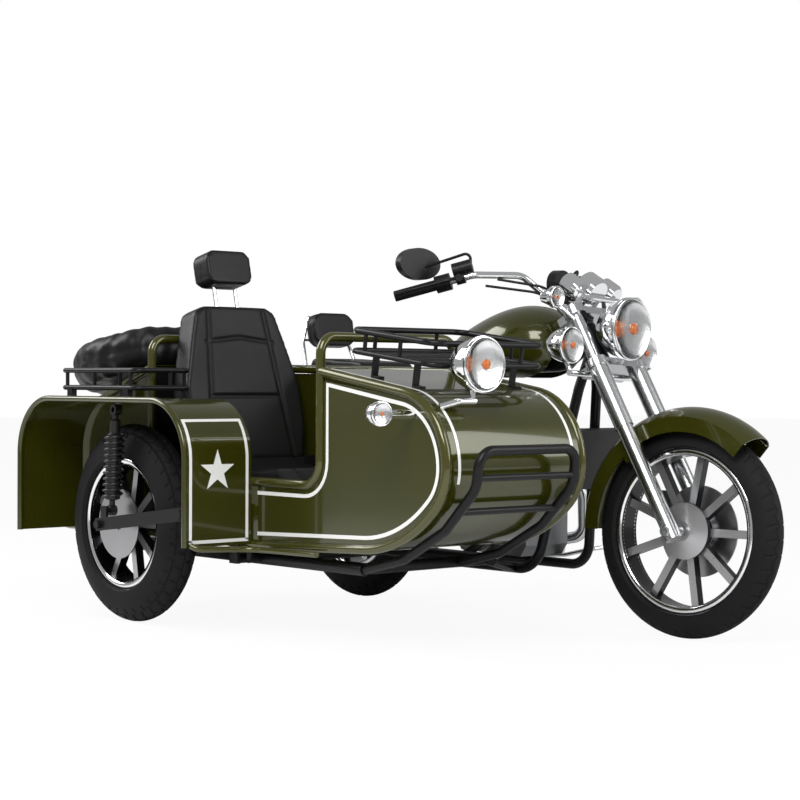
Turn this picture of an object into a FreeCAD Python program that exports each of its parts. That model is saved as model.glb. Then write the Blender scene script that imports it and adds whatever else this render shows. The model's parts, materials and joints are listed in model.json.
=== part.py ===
import FreeCAD, Part
import math
import os
import re

import Sketcher
from FreeCAD import Placement, Rotation, Vector

# A motorcycle with a one-seat sidecar on its right side.
# Millimetres and degrees. +X is forward, +Y is left and +Z is up. While it is modelled, the
# origin is on the ground under the rear axle; the last step moves the whole vehicle so that
# the origin lies under the middle of its box.

DIMENSIONS = {
    # wheels
    "wheelbase": 1490,
    "sidecar_lead": 100,
    "sidecar_track": 1030,
    "front_tyre_radius": 318.5,
    "front_tyre_width": 98,
    "front_rim_radius": 248,
    "front_rim_half": 37,
    "rear_tyre_radius": 305,
    "rear_tyre_width": 124,
    "rear_rim_radius": 208,
    "rear_rim_half": 48,
    "sidecar_tyre_radius": 311,
    "sidecar_tyre_width": 120,
    "sidecar_rim_radius": 209,
    "sidecar_rim_half": 46,
    "spoke_width": 24,
    "spoke_depth": 28,
    "axle_radius": 8.5,
    "disc_radius": 137,
    "sidecar_disc_radius": 110,
    "disc_thickness": 4,
    # steering
    "rake": 31,
    "fork_offset": 45,
    "fork_half_spacing": 100,
    "steer_rest": 6,
    "slider_radius": 25,
    "shroud_radius": 29,
    "fork_tube_radius": 20,
    "slider_top": 350,
    "lower_clamp": 560,
    "upper_clamp": 745,
    "clamp_thickness": 26,
    "stem_radius": 15,
    "fender_gap": 26,
    "front_fender_half": 68,
    "bar_radius": 11,
    "grip_radius": 17,
    # motorcycle frame and its load
    "tube_radius": 16,
    "cradle_half": 118,
    "cradle_floor": 172,
    "cradle_front": 975,
    "cradle_rear": 470,
    "rail_half": 100,
    "rail_height": 690,
    "backbone_height": 800,
    "pivot_height": 305,
    "swingarm_half": 95,
    "shock_half": 146,
    "tank_half_width": 152,
    "seat_top": 790,
    "rear_fender_gap": 24,
    # sidecar body
    "panel_outer": 925,
    "panel_inner": 400,
    "edge_radius": 14,
    "sheet": 2.5,
    "fit_gap": 0.3,
    "nose_x": 1427,
    "nose_z": 525,
    "deck_bend": 208,
    "chin_bend": 158,
    "belly_bend": 436,
    "deck_slope": 9,
    "belly_slope": 2.5,
    "cowl_x": 893,
    "sill_z": 457,
    "floor_z": 269,
    "tail_front_x": 40,
    "tail_top_z": 800,
    "tail_slope": 20,
    "tail_x": 560,
    "tail_bend": 120,
    "hoop_height": 100,
    # sidecar fender
    "fender_outer": 1180,
    "fender_top": 709,
    "fender_rear": 340,
    "fender_front": 582,
    "fender_foot": 270,
    "fender_bend": 175,
    "fender_edge_radius": 9.5,
    # sidecar frame, guards and racks
    "beam_radius": 19,
    "beam_height": 222,
    "guard_radius": 14,
    "guard_reach": 62,
    "rack_radius": 8,
    "deck_rack_half": 218,
    "deck_rack_length": 360,
    "rack_rise": 60,
    "rack_lift": 72,
    "fender_rack_length": 425,
    "fender_rack_half": 99,
    # sidecar seat and spare wheel
    "seat_half": 228,
    "seat_base_z": 360,
    "cushion_top": 490,
    "seat_back_top": 990,
    "spare_radius": 300,
    "spare_thickness": 150,
    "spare_tilt": 11,
    # lamps
    "headlight_radius": 97,
    "spot_radius": 57,
    "sidecar_lamp_radius": 78,
    "indicator_radius": 34,
}

doc = FreeCAD.newDocument("sidecar_motorcycle")
sheet = doc.addObject("Spreadsheet::Sheet", "dims")
for row, (alias, value) in enumerate(DIMENSIONS.items(), start=1):
    sheet.set("A%d" % row, alias)
    sheet.set("B%d" % row, str(value))
    sheet.setAlias("B%d" % row, alias)
doc.recompute()


class SheetValues:
    """The sheet's cells by their aliases, as numbers."""

    def __getattr__(self, alias):
        return float(sheet.get(alias))


size = SheetValues()
SUB_PARTS = {}
STEERED = []
FRONT_WHEEL = []


def keep(piece, steered=False):
    """Lists a finished sub-part, and whether it turns with the steering."""
    SUB_PARTS[piece.Label] = piece
    if steered:
        STEERED.append(piece)
    return piece


def bound(text):
    """Turns the aliases in an expression into references to the sheet."""
    return re.sub(r"\b(?!deg\b)[a-z][a-z_]*\b(?!\()", lambda word: "dims." + word.group(0), str(text))


def value_of(text):
    """The number that an expression of the sheet's aliases stands for."""
    result = sheet.evalExpression(str(text))
    return float(getattr(result, "Value", result))


def outline(body, role, corners, lift=None):
    """A closed sketch on one of the body's own planes.
    A corner is (across, up), and (across, up, radius) bends the edge to the next corner
    outwards, or inwards for a radius that starts with a minus sign. Corners run anticlockwise."""
    sketch = body.newObject("Sketcher::SketchObject", body.Label + "_outline")
    plane = [origin for origin in body.Origin.OriginFeatures if origin.Role == role][0]
    sketch.AttachmentSupport = [(plane, "")]
    sketch.MapMode = "FlatFace"
    if lift:
        sketch.setExpression("AttachmentOffset.Base.z", bound(lift))
    spots = [Vector(value_of(corner[0]), value_of(corner[1]), 0) for corner in corners]
    constraints = []
    starts = []
    for index, corner in enumerate(corners):
        here = spots[index]
        there = spots[(index + 1) % len(spots)]
        if len(corner) == 2:
            edge = sketch.addGeometry(Part.LineSegment(here, there))
            starts.append((edge, 1, 2))
            continue
        inward = str(corner[2]).startswith("-")
        radius_text = str(corner[2]).lstrip("-")
        radius = value_of(radius_text)
        run = there - here
        left = Vector(-run.y, run.x, 0).normalize()
        reach = math.sqrt(max(radius ** 2 - (run.Length / 2) ** 2, 0))
        centre = here + run * 0.5 + left * (-reach if inward else reach)
        first, last = (there, here) if inward else (here, there)
        begin = math.atan2(first.y - centre.y, first.x - centre.x)
        finish = math.atan2(last.y - centre.y, last.x - centre.x)
        circle = Part.Circle(centre, Vector(0, 0, 1), radius)
        edge = sketch.addGeometry(Part.ArcOfCircle(circle, begin, finish))
        starts.append((edge, 2, 1) if inward else (edge, 1, 2))
        constraints.append(("Radius", edge, radius_text))
    for index, (edge, start, _) in enumerate(starts):
        previous, _, end = starts[index - 1]
        sketch.addConstraint(Sketcher.Constraint("Coincident", previous, end, edge, start))
        for kind, along in (("DistanceX", 0), ("DistanceY", 1)):
            number = spots[index][along]
            constraint = Sketcher.Constraint(kind, -1, 1, edge, start, number)
            place = sketch.addConstraint(constraint)
            sketch.setExpression("Constraints[%d]" % place, bound(corners[index][along]))
    for kind, edge, text in constraints:
        place = sketch.addConstraint(Sketcher.Constraint(kind, edge, value_of(text)))
        sketch.setExpression("Constraints[%d]" % place, bound(text))
    return sketch


def turned(label, corners, body=None):
    """A body turned about its own Y axis from corners of (radius, along the axis)."""
    body = body or doc.addObject("PartDesign::Body", label)
    sketch = outline(body, "XY_Plane", corners)
    spin = body.newObject("PartDesign::Revolution", label + "_turn")
    spin.Profile = sketch
    spin.ReferenceAxis = (sketch, ["V_Axis"])
    spin.Angle = 360
    body.Tip = spin
    return body


def padded(label, role, corners, depth, lift=None, body=None, midplane=False, flip=False):
    """A body padded from a closed outline on one of its planes."""
    body = body or doc.addObject("PartDesign::Body", label)
    sketch = outline(body, role, corners, lift)
    pad = body.newObject("PartDesign::Pad", label + "_pad")
    pad.Profile = sketch
    pad.setExpression("Length", bound(depth))
    pad.Midplane = midplane
    pad.Reversed = flip
    body.Tip = pad
    return body


def pocketed(body, role, corners, lift=None):
    """Cuts an outline right through a body, both ways from the sketch's plane."""
    sketch = outline(body, role, corners, lift)
    pocket = body.newObject("PartDesign::Pocket", body.Label + "_pocket")
    pocket.Profile = sketch
    pocket.Type = "ThroughAll"
    pocket.Midplane = True
    body.Tip = pocket
    return body


def box_corners(low_across, low_up, high_across, high_up):
    """The corners of an upright rectangle, anticlockwise."""
    return [(low_across, low_up), (high_across, low_up), (high_across, high_up), (low_across, high_up)]


def rounded(body, edges, radius):
    """Rounds the edges of the body's last feature that a test picks."""
    doc.recompute()
    chosen = []
    blank = body.Tip
    for index, edge in enumerate(blank.Shape.Edges, start=1):
        if edges(edge):
            chosen.append("Edge%d" % index)
    fillet = body.newObject("PartDesign::Fillet", body.Label + "_round")
    fillet.Base = (blank, chosen)
    fillet.setExpression("Radius", bound(radius))
    body.Tip = fillet
    return body


def straight_along(axis):
    """A test for straight edges that run along one axis."""
    def test(edge):
        return edge.Curve.TypeId == "Part::GeomLine" and abs(edge.tangentAt(edge.FirstParameter).dot(axis)) > 0.999
    return test


def group(label, pieces):
    """One sub-part of several like pieces that don't touch."""
    compound = doc.addObject("Part::Compound", label)
    compound.Links = pieces
    return compound


def fused(label, pieces):
    """One sub-part of pieces that are welded or cast together."""
    joined = doc.addObject("Part::MultiFuse", label)
    joined.Shapes = pieces
    return joined


def cut_from(label, base, tool):
    """A sub-part with room cut in it for its neighbour."""
    remainder = doc.addObject("Part::Cut", label)
    remainder.Base = base
    remainder.Tool = tool
    return remainder


def mirrored(piece, label):
    """The same piece on the other side of the vehicle's middle plane."""
    twin = doc.addObject("Part::Mirroring", label)
    twin.Source = piece
    twin.Base = Vector(0, 0, 0)
    twin.Normal = Vector(0, 1, 0)
    return twin


def rod(label, start, end, radius):
    """A round bar between two points."""
    bar = doc.addObject("Part::Cylinder", label)
    bar.setExpression("Radius", bound(radius))
    bar.Height = (end - start).Length
    bar.Placement = Placement(start, Rotation(Vector(0, 0, 1), end - start))
    return bar


def block(label, low, high):
    """A plain block between two opposite corners."""
    brick = doc.addObject("Part::Box", label)
    brick.Length = high.x - low.x
    brick.Width = high.y - low.y
    brick.Height = high.z - low.z
    brick.Placement.Base = low
    return brick


def bent_path(points, bend, closed=False):
    """Straight runs joined by tangent arcs of one radius, or as large as short runs allow."""
    count = len(points)
    corners = {}
    for index in range(count) if closed else range(1, count - 1):
        back = points[index - 1] - points[index]
        ahead = points[(index + 1) % count] - points[index]
        turn = math.pi - back.getAngle(ahead)
        if turn < 0.001:
            continue
        room = 0.45 * min(back.Length, ahead.Length) / math.tan(turn / 2)
        radius = min(bend, room)
        back.normalize()
        ahead.normalize()
        reach = radius * math.tan(turn / 2)
        inward = (back + ahead).normalize()
        middle = points[index] + inward * (radius / math.cos(turn / 2) - radius)
        corners[index] = (points[index] + back * reach, middle, points[index] + ahead * reach)
    edges = []
    for index in range(count if closed else count - 1):
        following = (index + 1) % count
        if index in corners:
            edges.append(Part.Arc(*corners[index]).toShape())
        run_start = corners[index][2] if index in corners else points[index]
        run_end = corners[following][0] if following in corners else points[following]
        edges.append(Part.LineSegment(run_start, run_end).toShape())
    return Part.Wire(edges)


def bent_tube(points, radius, bend, closed=False):
    """The solid of a round tube bent along straight runs and arcs."""
    path = bent_path(points, bend, closed)
    first = path.Edges[0]
    start = first.valueAt(first.FirstParameter)
    along = first.tangentAt(first.FirstParameter)
    ring = Part.Wire([Part.Circle(start, along, radius).toShape()])
    return path.makePipeShell([ring], True, False)


def bar_shape(start, end, radius):
    """The solid of a straight round bar."""
    return Part.makeCylinder(radius, (end - start).Length, start, end - start)


def block_shape(low, high):
    """The solid of a block between two opposite corners."""
    return Part.makeBox(high.x - low.x, high.y - low.y, high.z - low.z, low)


def welded(label, shapes):
    """A sub-part of bent tubes and plates welded into one, set by its shape."""
    feature = doc.addObject("Part::Feature", label)
    feature.Shape = shapes[0].fuse(shapes[1:]) if len(shapes) > 1 else shapes[0]
    return feature


def clear_of(piece, *neighbours):
    """Takes the room its neighbours fill out of a welded piece, so that they meet face to face."""
    doc.recompute()
    piece.Shape = piece.Shape.cut([neighbour.Shape for neighbour in neighbours])


def both_sides(points):
    """A list of points and its copy on the other side of the middle plane."""
    return points, [Vector(point.x, -point.y, point.z) for point in points]


# ---------------------------------------------------------------- wheels

def tyre(label, name, place):
    """A road tyre: beads between the rim's flanges, full sidewalls and a rounded crown."""
    rim, rim_half, radius, width = name + "_rim_radius", name + "_rim_half", name + "_tyre_radius", name + "_tyre_width"
    seat = "%s - 14 + fit_gap" % rim
    flange = "%s + 1" % rim
    bead = "%s - 6 - fit_gap" % rim_half
    side = "%s / 2" % width
    middle = "(%s + %s) / 2 + 2" % (rim, radius)
    shoulder = "%s - 18" % radius
    tread = "%s / 2 - 8" % width
    crown = "((%s) * (%s) + 18 * 18) / 36" % (tread, tread)
    corners = [
        (seat, "-(%s)" % bead),
        (flange, "-(%s)" % bead),
        (flange, "-(%s) - 2" % bead, "(%s - %s) / 1.4" % (radius, rim)),
        (middle, "-(%s)" % side, "(%s - %s) / 1.2" % (radius, rim)),
        (shoulder, "-(%s)" % tread, crown),
        (shoulder, tread, "(%s - %s) / 1.2" % (radius, rim)),
        (middle, side, "(%s - %s) / 1.4" % (radius, rim)),
        (flange, "%s + 2" % bead),
        (flange, bead),
        (seat, bead),
    ]
    body = turned(label, corners)
    body.Placement.Base = place
    return keep(body)


def rim(label, name, hub, place, spokes=9):
    """A cast wheel: hub, a ring of straight spokes and a rim with two flanges."""
    rim_radius, half = name + "_rim_radius", name + "_rim_half"
    body = turned(label, hub)
    sketch = outline(body, "YZ_Plane", box_corners(
        "-spoke_depth / 2", "-spoke_width / 2", "spoke_depth / 2", "spoke_width / 2"), "34")
    spoke = body.newObject("PartDesign::Pad", label + "_spoke")
    spoke.Profile = sketch
    spoke.setExpression("Length", bound(rim_radius + " - 56"))
    body.Tip = spoke
    ring = body.newObject("PartDesign::PolarPattern", label + "_spokes")
    ring.Originals = [spoke]
    ring.Axis = (body.Group[0], ["V_Axis"])
    ring.Angle = 360
    ring.Occurrences = spokes
    body.Tip = ring
    turned(label + "_barrel", [
        (rim_radius + " - 24", "-%s" % half),
        (rim_radius, "-%s" % half),
        (rim_radius, "-%s + 6" % half),
        (rim_radius + " - 14", "-%s + 6" % half),
        (rim_radius + " - 14", "%s - 6" % half),
        (rim_radius, "%s - 6" % half),
        (rim_radius, half),
        (rim_radius + " - 24", half),
    ], body)
    body.Placement.Base = place
    return keep(body)


FRONT_AXLE = Vector(size.wheelbase, 0, size.front_tyre_radius)
REAR_AXLE = Vector(0, 0, size.rear_tyre_radius)
SIDECAR_AXLE = Vector(size.sidecar_lead, -size.sidecar_track, size.sidecar_tyre_radius)
BORE = "axle_radius + fit_gap"

FRONT_WHEEL.append(tyre("front_tyre", "front", FRONT_AXLE))
FRONT_WHEEL.append(rim("front_rim", "front", [
    (BORE, "-44"), ("30", "-44"), ("84", "-30"), ("84", "-16"), ("40", "-14"), ("40", "30"), (BORE, "30"),
], FRONT_AXLE))
front_disc = turned("front_disc", [
    ("20", "30 + fit_gap"), ("60", "30 + fit_gap"), ("60", "46"), ("disc_radius", "46"),
    ("disc_radius", "46 + disc_thickness"), ("20", "46 + disc_thickness"),
])
front_disc.Placement.Base = FRONT_AXLE
FRONT_WHEEL.append(keep(front_disc))

tyre("rear_tyre", "rear", REAR_AXLE)
rim("rear_rim", "rear", [
    (BORE, "-60"), ("80", "-52"), ("80", "-16"), ("42", "-14"), ("42", "40"), ("50", "60"), (BORE, "60"),
], REAR_AXLE)
tyre("sidecar_tyre", "sidecar", SIDECAR_AXLE)
rim("sidecar_rim", "sidecar", [
    (BORE, "-40"), ("36", "-40"), ("44", "-14"), ("44", "30"), ("36", "50"), (BORE, "50"),
], SIDECAR_AXLE)
sidecar_disc = turned("sidecar_disc", [
    ("20", "-56 - disc_thickness"), ("sidecar_disc_radius", "-56 - disc_thickness"), ("sidecar_disc_radius", "-56"),
    ("54", "-56"), ("54", "-40 - fit_gap"), ("20", "-40 - fit_gap"),
])
sidecar_disc.Placement.Base = SIDECAR_AXLE
keep(sidecar_disc)

# ---------------------------------------------------------------- steering
# The steering axis leans back by the rake. Fork pieces are modelled upright, with their own Z
# along the axis and their own X forward, and their placement leans them back.

STEER_AXIS = Rotation(Vector(0, 1, 0), -size.rake).multVec(Vector(0, 0, 1))
STEER_FORWARD = Rotation(Vector(0, 1, 0), -size.rake).multVec(Vector(1, 0, 0))
STEER_FOOT = FRONT_AXLE - STEER_FORWARD * size.fork_offset
LEANED = Placement(STEER_FOOT, Rotation(Vector(0, 1, 0), -size.rake))


def on_fork(across, side, along):
    """A point in the vehicle's frame from its place in the leaning fork's frame."""
    return LEANED.multVec(Vector(across, side, along))


leg_side = size.fork_half_spacing
slider_shapes = []
for side in (-leg_side, leg_side):
    slider_shapes.append(bar_shape(
        on_fork(size.fork_offset, side, -28), on_fork(size.fork_offset, side, size.slider_top), size.slider_radius))
slider_shapes.append(bar_shape(
    FRONT_AXLE + Vector(0, -leg_side - 34, 0), FRONT_AXLE + Vector(0, leg_side + 34, 0), size.axle_radius))
axle_end_start = FRONT_AXLE + Vector(0, -leg_side - 34, 0)
slider_shapes.append(bar_shape(axle_end_start, axle_end_start + Vector(0, 18, 0), 14))
for side in (-1, 1):
    spacer_start = FRONT_AXLE + Vector(0, side * (leg_side - size.slider_radius + 2), 0)
    spacer_end = FRONT_AXLE + Vector(0, side * 53, 0)
    slider_shapes.append(bar_shape(spacer_start, spacer_end, 15))
keep(welded("fork_sliders", slider_shapes), True)

stanchion_shapes = []
for side in (-leg_side, leg_side):
    shroud_foot = on_fork(size.fork_offset, side, size.slider_top + 2 * size.fit_gap)
    shroud_top = on_fork(size.fork_offset, side, size.lower_clamp)
    stanchion_shapes.append(bar_shape(shroud_foot, shroud_top, size.shroud_radius))
    cap_top = on_fork(size.fork_offset, side, size.upper_clamp + size.clamp_thickness + 10)
    stanchion_shapes.append(bar_shape(shroud_top, cap_top, size.fork_tube_radius))


def clamp_shape(height):
    """A fork clamp: a plate round both fork tubes and the stem."""
    reach = size.fork_tube_radius + 14
    plate = Part.makeBox(
        size.fork_offset + 2 * 24, 2 * leg_side, size.clamp_thickness, Vector(-24, -leg_side, height))
    ears = [Part.makeCylinder(reach, size.clamp_thickness, Vector(size.fork_offset, side, height))
            for side in (-leg_side, leg_side)]
    clamp = plate.fuse(ears)
    clamp.Placement = LEANED
    return clamp


for height in (size.lower_clamp, size.upper_clamp):
    stanchion_shapes.append(clamp_shape(height))
stem = bar_shape(on_fork(0, 0, size.lower_clamp), on_fork(0, 0, size.upper_clamp + size.clamp_thickness + 8),
                 size.stem_radius)
stanchion_shapes.append(stem)
keep(welded("fork_clamps", stanchion_shapes), True)


def fender_ring(inner, half, wall, skirt, start, sweep, centre):
    """A wheel fender: a domed channel swept round the axle from start, by sweep degrees."""
    crown = half * 1.35
    drop = crown - math.sqrt(crown ** 2 - half ** 2)
    profile = []
    for offset in (wall, 0):
        top = Vector(inner + drop + offset, 0, 0)
        edge = inner + offset * 0.6
        profile.append((Vector(inner - skirt, half + offset, 0), Vector(edge, half + offset, 0), top,
                        Vector(edge, -half - offset, 0), Vector(inner - skirt, -half - offset, 0)))
    outer, inside = profile
    edges = [
        Part.LineSegment(outer[0], outer[1]).toShape(),
        Part.Arc(outer[1], outer[2], outer[3]).toShape(),
        Part.LineSegment(outer[3], outer[4]).toShape(),
        Part.LineSegment(outer[4], inside[4]).toShape(),
        Part.LineSegment(inside[4], inside[3]).toShape(),
        Part.Arc(inside[3], inside[2], inside[1]).toShape(),
        Part.LineSegment(inside[1], inside[0]).toShape(),
        Part.LineSegment(inside[0], outer[0]).toShape(),
    ]
    face = Part.Face(Part.Wire(edges))
    face.rotate(Vector(0, 0, 0), Vector(0, 1, 0), -start)
    ring = face.revolve(Vector(0, 0, 0), Vector(0, 1, 0), -sweep)
    ring.translate(centre)
    return ring


front_fender_inner = size.front_tyre_radius + size.fender_gap - 8
front_fender = fender_ring(front_fender_inner, size.front_fender_half, 3, 44, 50, 132, FRONT_AXLE)
stay_shapes = [front_fender]
for side in (-1, 1):
    low_y, high_y = sorted((side * (size.front_fender_half + 2), side * (leg_side - size.slider_radius + 3)))
    stay = block_shape(Vector(size.fork_offset - 60, low_y, 262), Vector(size.fork_offset + 14, high_y, 300))
    stay.Placement = LEANED
    stay_shapes.append(stay)
front_fender_whole = welded("front_fender", stay_shapes)
slider_room = [bar_shape(on_fork(size.fork_offset, side, 0), on_fork(size.fork_offset, side, size.slider_top),
                         size.slider_radius + size.fit_gap) for side in (-leg_side, leg_side)]
front_fender_whole.Shape = front_fender_whole.Shape.cut(slider_room)
keep(front_fender_whole, True)

# Handlebar: clamped on two risers over the upper clamp, up, out and back to the grips.
bar_centre_z = size.upper_clamp + 104
bar_points = [
    on_fork(-330, -400, bar_centre_z + 178),
    on_fork(-127, -272, bar_centre_z + 138),
    on_fork(-44, -152, bar_centre_z + 96),
    on_fork(-34, -62, bar_centre_z),
]
bar_points += [Vector(point.x, -point.y, point.z) for point in reversed(bar_points)]
handlebar_shapes = [bent_tube(bar_points, size.bar_radius, 60)]
for side in (-45, 45):
    riser_foot = on_fork(-10, side, size.upper_clamp + size.clamp_thickness + size.fit_gap)
    handlebar_shapes.append(bar_shape(riser_foot, on_fork(-34, side, bar_centre_z + 4), 15))
keep(welded("handlebar", handlebar_shapes), True)

grip_shapes = []
control_shapes = []
for outer, inner in ((bar_points[0], bar_points[1]), (bar_points[-1], bar_points[-2])):
    inward = (inner - outer).normalize()
    side = 1 if outer.y > 0 else -1
    grip = bar_shape(outer - inward * 14, outer + inward * 118, size.grip_radius)
    grip_shapes.append(grip.cut(bar_shape(outer, inner, size.bar_radius + size.fit_gap)))
    housing = bar_shape(outer + inward * 120, outer + inward * 168, 27)
    reservoir_centre = outer + inward * 200
    forward = inward.cross(Vector(0, 0, 1)).normalize() * (-side)
    forward = forward if forward.x > 0 else forward * -1
    reservoir = bar_shape(reservoir_centre - inward * 26 + Vector(0, 0, 30),
                          reservoir_centre + inward * 36 + Vector(0, 0, 30), 23)
    clamp_ring = bar_shape(reservoir_centre - inward * 14, reservoir_centre + inward * 14, 18)
    lever = bent_tube([
        reservoir_centre + forward * 26 + inward * 10,
        reservoir_centre + forward * 44 - inward * 36,
        outer + forward * 46 + inward * 40,
        outer + forward * 38 - inward * 6,
    ], 6, 40)
    pivot = bar_shape(reservoir_centre, reservoir_centre + forward * 40, 11)
    cluster = clamp_ring.fuse([housing, reservoir, lever, pivot])
    cluster = cluster.cut(bar_shape(outer, outer + inward * 236, size.bar_radius + size.fit_gap))
    control_shapes.append(cluster)
keep(welded("grips", grip_shapes), True)
keep(welded("hand_controls", control_shapes), True)

mirror_shapes = []
for side in (-1, 1):
    base = on_fork(-134, side * 262, bar_centre_z + 172)
    head = on_fork(-262, side * 352, bar_centre_z + 255)
    knee = base + Vector(6, side * 12, 46)
    mirror_shapes.append(bent_tube([base, knee, head + Vector(26, -side * 10, -10)], 4.5, 16))
    shell = Part.makeCylinder(50, 30, Vector(0, 0, 0), Vector(1, 0, 0))
    stretch = FreeCAD.Matrix()
    stretch.scale(Vector(1, 1.5, 1))
    shell = shell.transformGeometry(stretch)
    shell.Placement = Placement(head, Rotation(Vector(0, 0, 1), side * 14))
    mirror_shapes.append(shell)
keep(welded("mirrors", mirror_shapes), True)


def lamp(label, radius, depth, place, axis_turn, steered=False):
    """A round lamp bowl with its rim and a flat lens, its own Y axis pointing forward."""
    body = turned(label, [
        ("0.1", "-(%s)" % depth),
        ("%s * 0.42" % radius, "-(%s)" % depth, "%s * 1.15" % depth),
        ("%s - 4" % radius, "-14"),
        (radius, "-12"),
        (radius, "-2"),
        ("%s - 7" % radius, "0"),
        ("0.1", "3"),
    ])
    body.Placement = Placement(place, axis_turn)
    return body


FORWARD = Rotation(Vector(0, 0, 1), -90)
headlight_place = on_fork(145, 0, 645)
headlight_bowl = lamp("headlight_bowl", "headlight_radius", "103", headlight_place, FORWARD)
ear_shapes = []
for side in (-1, 1):
    ear_low = Vector(headlight_place.x - 70, side * (leg_side - 24), headlight_place.z - 14)
    ear_shapes.append(bar_shape(headlight_place + Vector(-62, side * 66, 0), headlight_place + Vector(-62, side * 80, 0), 12))
keep(fused("headlight", [headlight_bowl, welded("headlight_ears", ear_shapes)]), True)

spot_place = Vector(headlight_place.x - 82, 0, headlight_place.z - 62)
light_bar_z = spot_place.z - 84
light_bar_x = spot_place.x + 6
spots = []
for side, name in ((-1, "right"), (1, "left")):
    place = spot_place + Vector(0, side * 188, 0)
    spots.append(lamp("spot_" + name, "spot_radius", "80", place, FORWARD))
    stalk_foot = Vector(light_bar_x, place.y, light_bar_z)
    spots.append(rod("spot_stalk_" + name, stalk_foot, place + Vector(-24, 0, -38), "7"))
    lug_foot = Vector(light_bar_x, side * 56, light_bar_z)
    spots.append(rod("light_bar_lug_" + name, lug_foot + Vector(-34, 0, 8), lug_foot, "6"))
indicator_place = spot_place + Vector(-52, 202, 146)
indicator_stem_end = on_fork(size.fork_offset, leg_side + 16, size.upper_clamp - 14)
indicator_bowl = turned("front_indicator_bowl", [
    (1, -52), (16, -52), ("indicator_radius - 4", -14), ("indicator_radius", -12), ("indicator_radius", -2),
    ("indicator_radius - 7", 0), (1, 0)])
indicator_bowl.Placement = Placement(indicator_place, FORWARD)
front_indicator = fused("front_indicator_left", [
    indicator_bowl,
    rod("front_indicator_stem", indicator_place + Vector(-30, -14, -4), indicator_stem_end, "6"),
])
spots += [front_indicator, mirrored(front_indicator, "front_indicator_right")]
bar_y = 200
spots.append(rod("light_bar", Vector(light_bar_x, -bar_y, light_bar_z), Vector(light_bar_x, bar_y, light_bar_z), "9"))
keep(fused("front_lamps", spots), True)

gauges = []
POD_TURN = Rotation(Vector(0, 1, 0), -60)
for name, side, radius in (("middle", 0, "46"), ("right", -92, "33"), ("left", 92, "33")):
    pod = turned("pod_" + name, [
        ("0.1", "-34"), ("%s - 8" % radius, "-34"), (radius, "-20"), (radius, "26"), ("%s - 4" % radius, "30"), ("0.1", "30"),
    ])
    pod.Placement = Placement(headlight_place + Vector(-160, side, 128), POD_TURN.multiply(Rotation(Vector(1, 0, 0), 90)))
    gauges.append(pod)
gauge_base = headlight_place + Vector(-128, 0, 96)
gauges.append(rod("gauge_bar", gauge_base + Vector(0, -96, 0), gauge_base + Vector(0, 96, 0), "9"))
gauges.append(rod("gauge_foot", gauge_base, on_fork(16, 0, size.upper_clamp + size.clamp_thickness + size.fit_gap), "9"))
keep(fused("instruments", gauges), True)

caliper_middle = Vector(0, 58, 0)
caliper_block = Part.makeBox(46, 36, 92, Vector(-108 - 46, 38, 24))
disc_slot = Part.makeCylinder(size.disc_radius + 6, size.disc_thickness + 3, Vector(0, 44.5, 0), Vector(0, 1, 0))
caliper = caliper_block.cut(disc_slot)
lug = Part.makeBox(86, 15, 30, Vector(-108, 62, 60))
caliper = caliper.fuse(lug.cut(disc_slot))
caliper.translate(FRONT_AXLE)
caliper = caliper.cut([bar_shape(on_fork(size.fork_offset, leg_side, -30), on_fork(size.fork_offset, leg_side, 300),
                                 size.slider_radius + size.fit_gap)])
front_caliper = doc.addObject("Part::Feature", "front_caliper")
front_caliper.Shape = caliper
keep(front_caliper, True)

cable_shapes = []
cable_targets = [(-60, 20), (-44, -20)]
for side in (-1, 1):
    for slot, (drop, spread) in enumerate(cable_targets):
        start = on_fork(-120 + 30 * slot, side * (246 - 30 * slot), bar_centre_z + 96 + 8 * slot)
        sag = on_fork(-10 + 20 * slot, side * (178 - 26 * slot), bar_centre_z + 10 + 10 * slot)
        rise = on_fork(34, side * (96 - 12 * slot), bar_centre_z - 50)
        finish = on_fork(58 + 6 * slot, side * (58 - 16 * slot), bar_centre_z - 120)
        cable_shapes.append(bent_tube([start, sag, rise, finish], 4, 60))
keep(welded("control_cables", cable_shapes), True)

# ---------------------------------------------------------------- motorcycle

tube = size.tube_radius
HEAD_LOW = on_fork(0, 0, size.lower_clamp + size.clamp_thickness + 6)
HEAD_HIGH = on_fork(0, 0, size.upper_clamp - 6)
head_tube = bar_shape(HEAD_LOW, HEAD_HIGH, 30)
head_bore = bar_shape(HEAD_LOW, HEAD_HIGH, size.stem_radius + size.fit_gap)
backbone_start = on_fork(0, 0, size.upper_clamp - 60)
backbone_end = Vector(560, 0, size.backbone_height)
rail_front = Vector(520, size.rail_half, size.backbone_height - 30)
frame_shapes = [
    head_tube,
    bent_tube([backbone_start, Vector(backbone_start.x - 120, 0, size.backbone_height + 12), backbone_end], 20, 120),
    bar_shape(Vector(560, -size.rail_half, size.backbone_height - 14), Vector(560, size.rail_half, size.backbone_height - 14), tube),
]
cradle = [
    on_fork(-20, 12, size.lower_clamp + 92),
    Vector(size.cradle_front + 104, 40, 740),
    Vector(size.cradle_front, size.cradle_half, size.cradle_floor),
    Vector(size.cradle_rear, size.cradle_half, size.cradle_floor),
    Vector(size.cradle_rear + 26, size.cradle_half, size.pivot_height + 120),
    Vector(558, size.rail_half, size.backbone_height - 14),
]
rail = [
    Vector(560, size.rail_half, size.backbone_height - 14),
    Vector(430, size.rail_half, size.rail_height),
    Vector(-130, size.rail_half, size.rail_height),
]
for points in both_sides(cradle):
    frame_shapes.append(bent_tube(points, tube, 90))
for points in both_sides(rail):
    frame_shapes.append(bent_tube(points, 13, 90))
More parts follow.
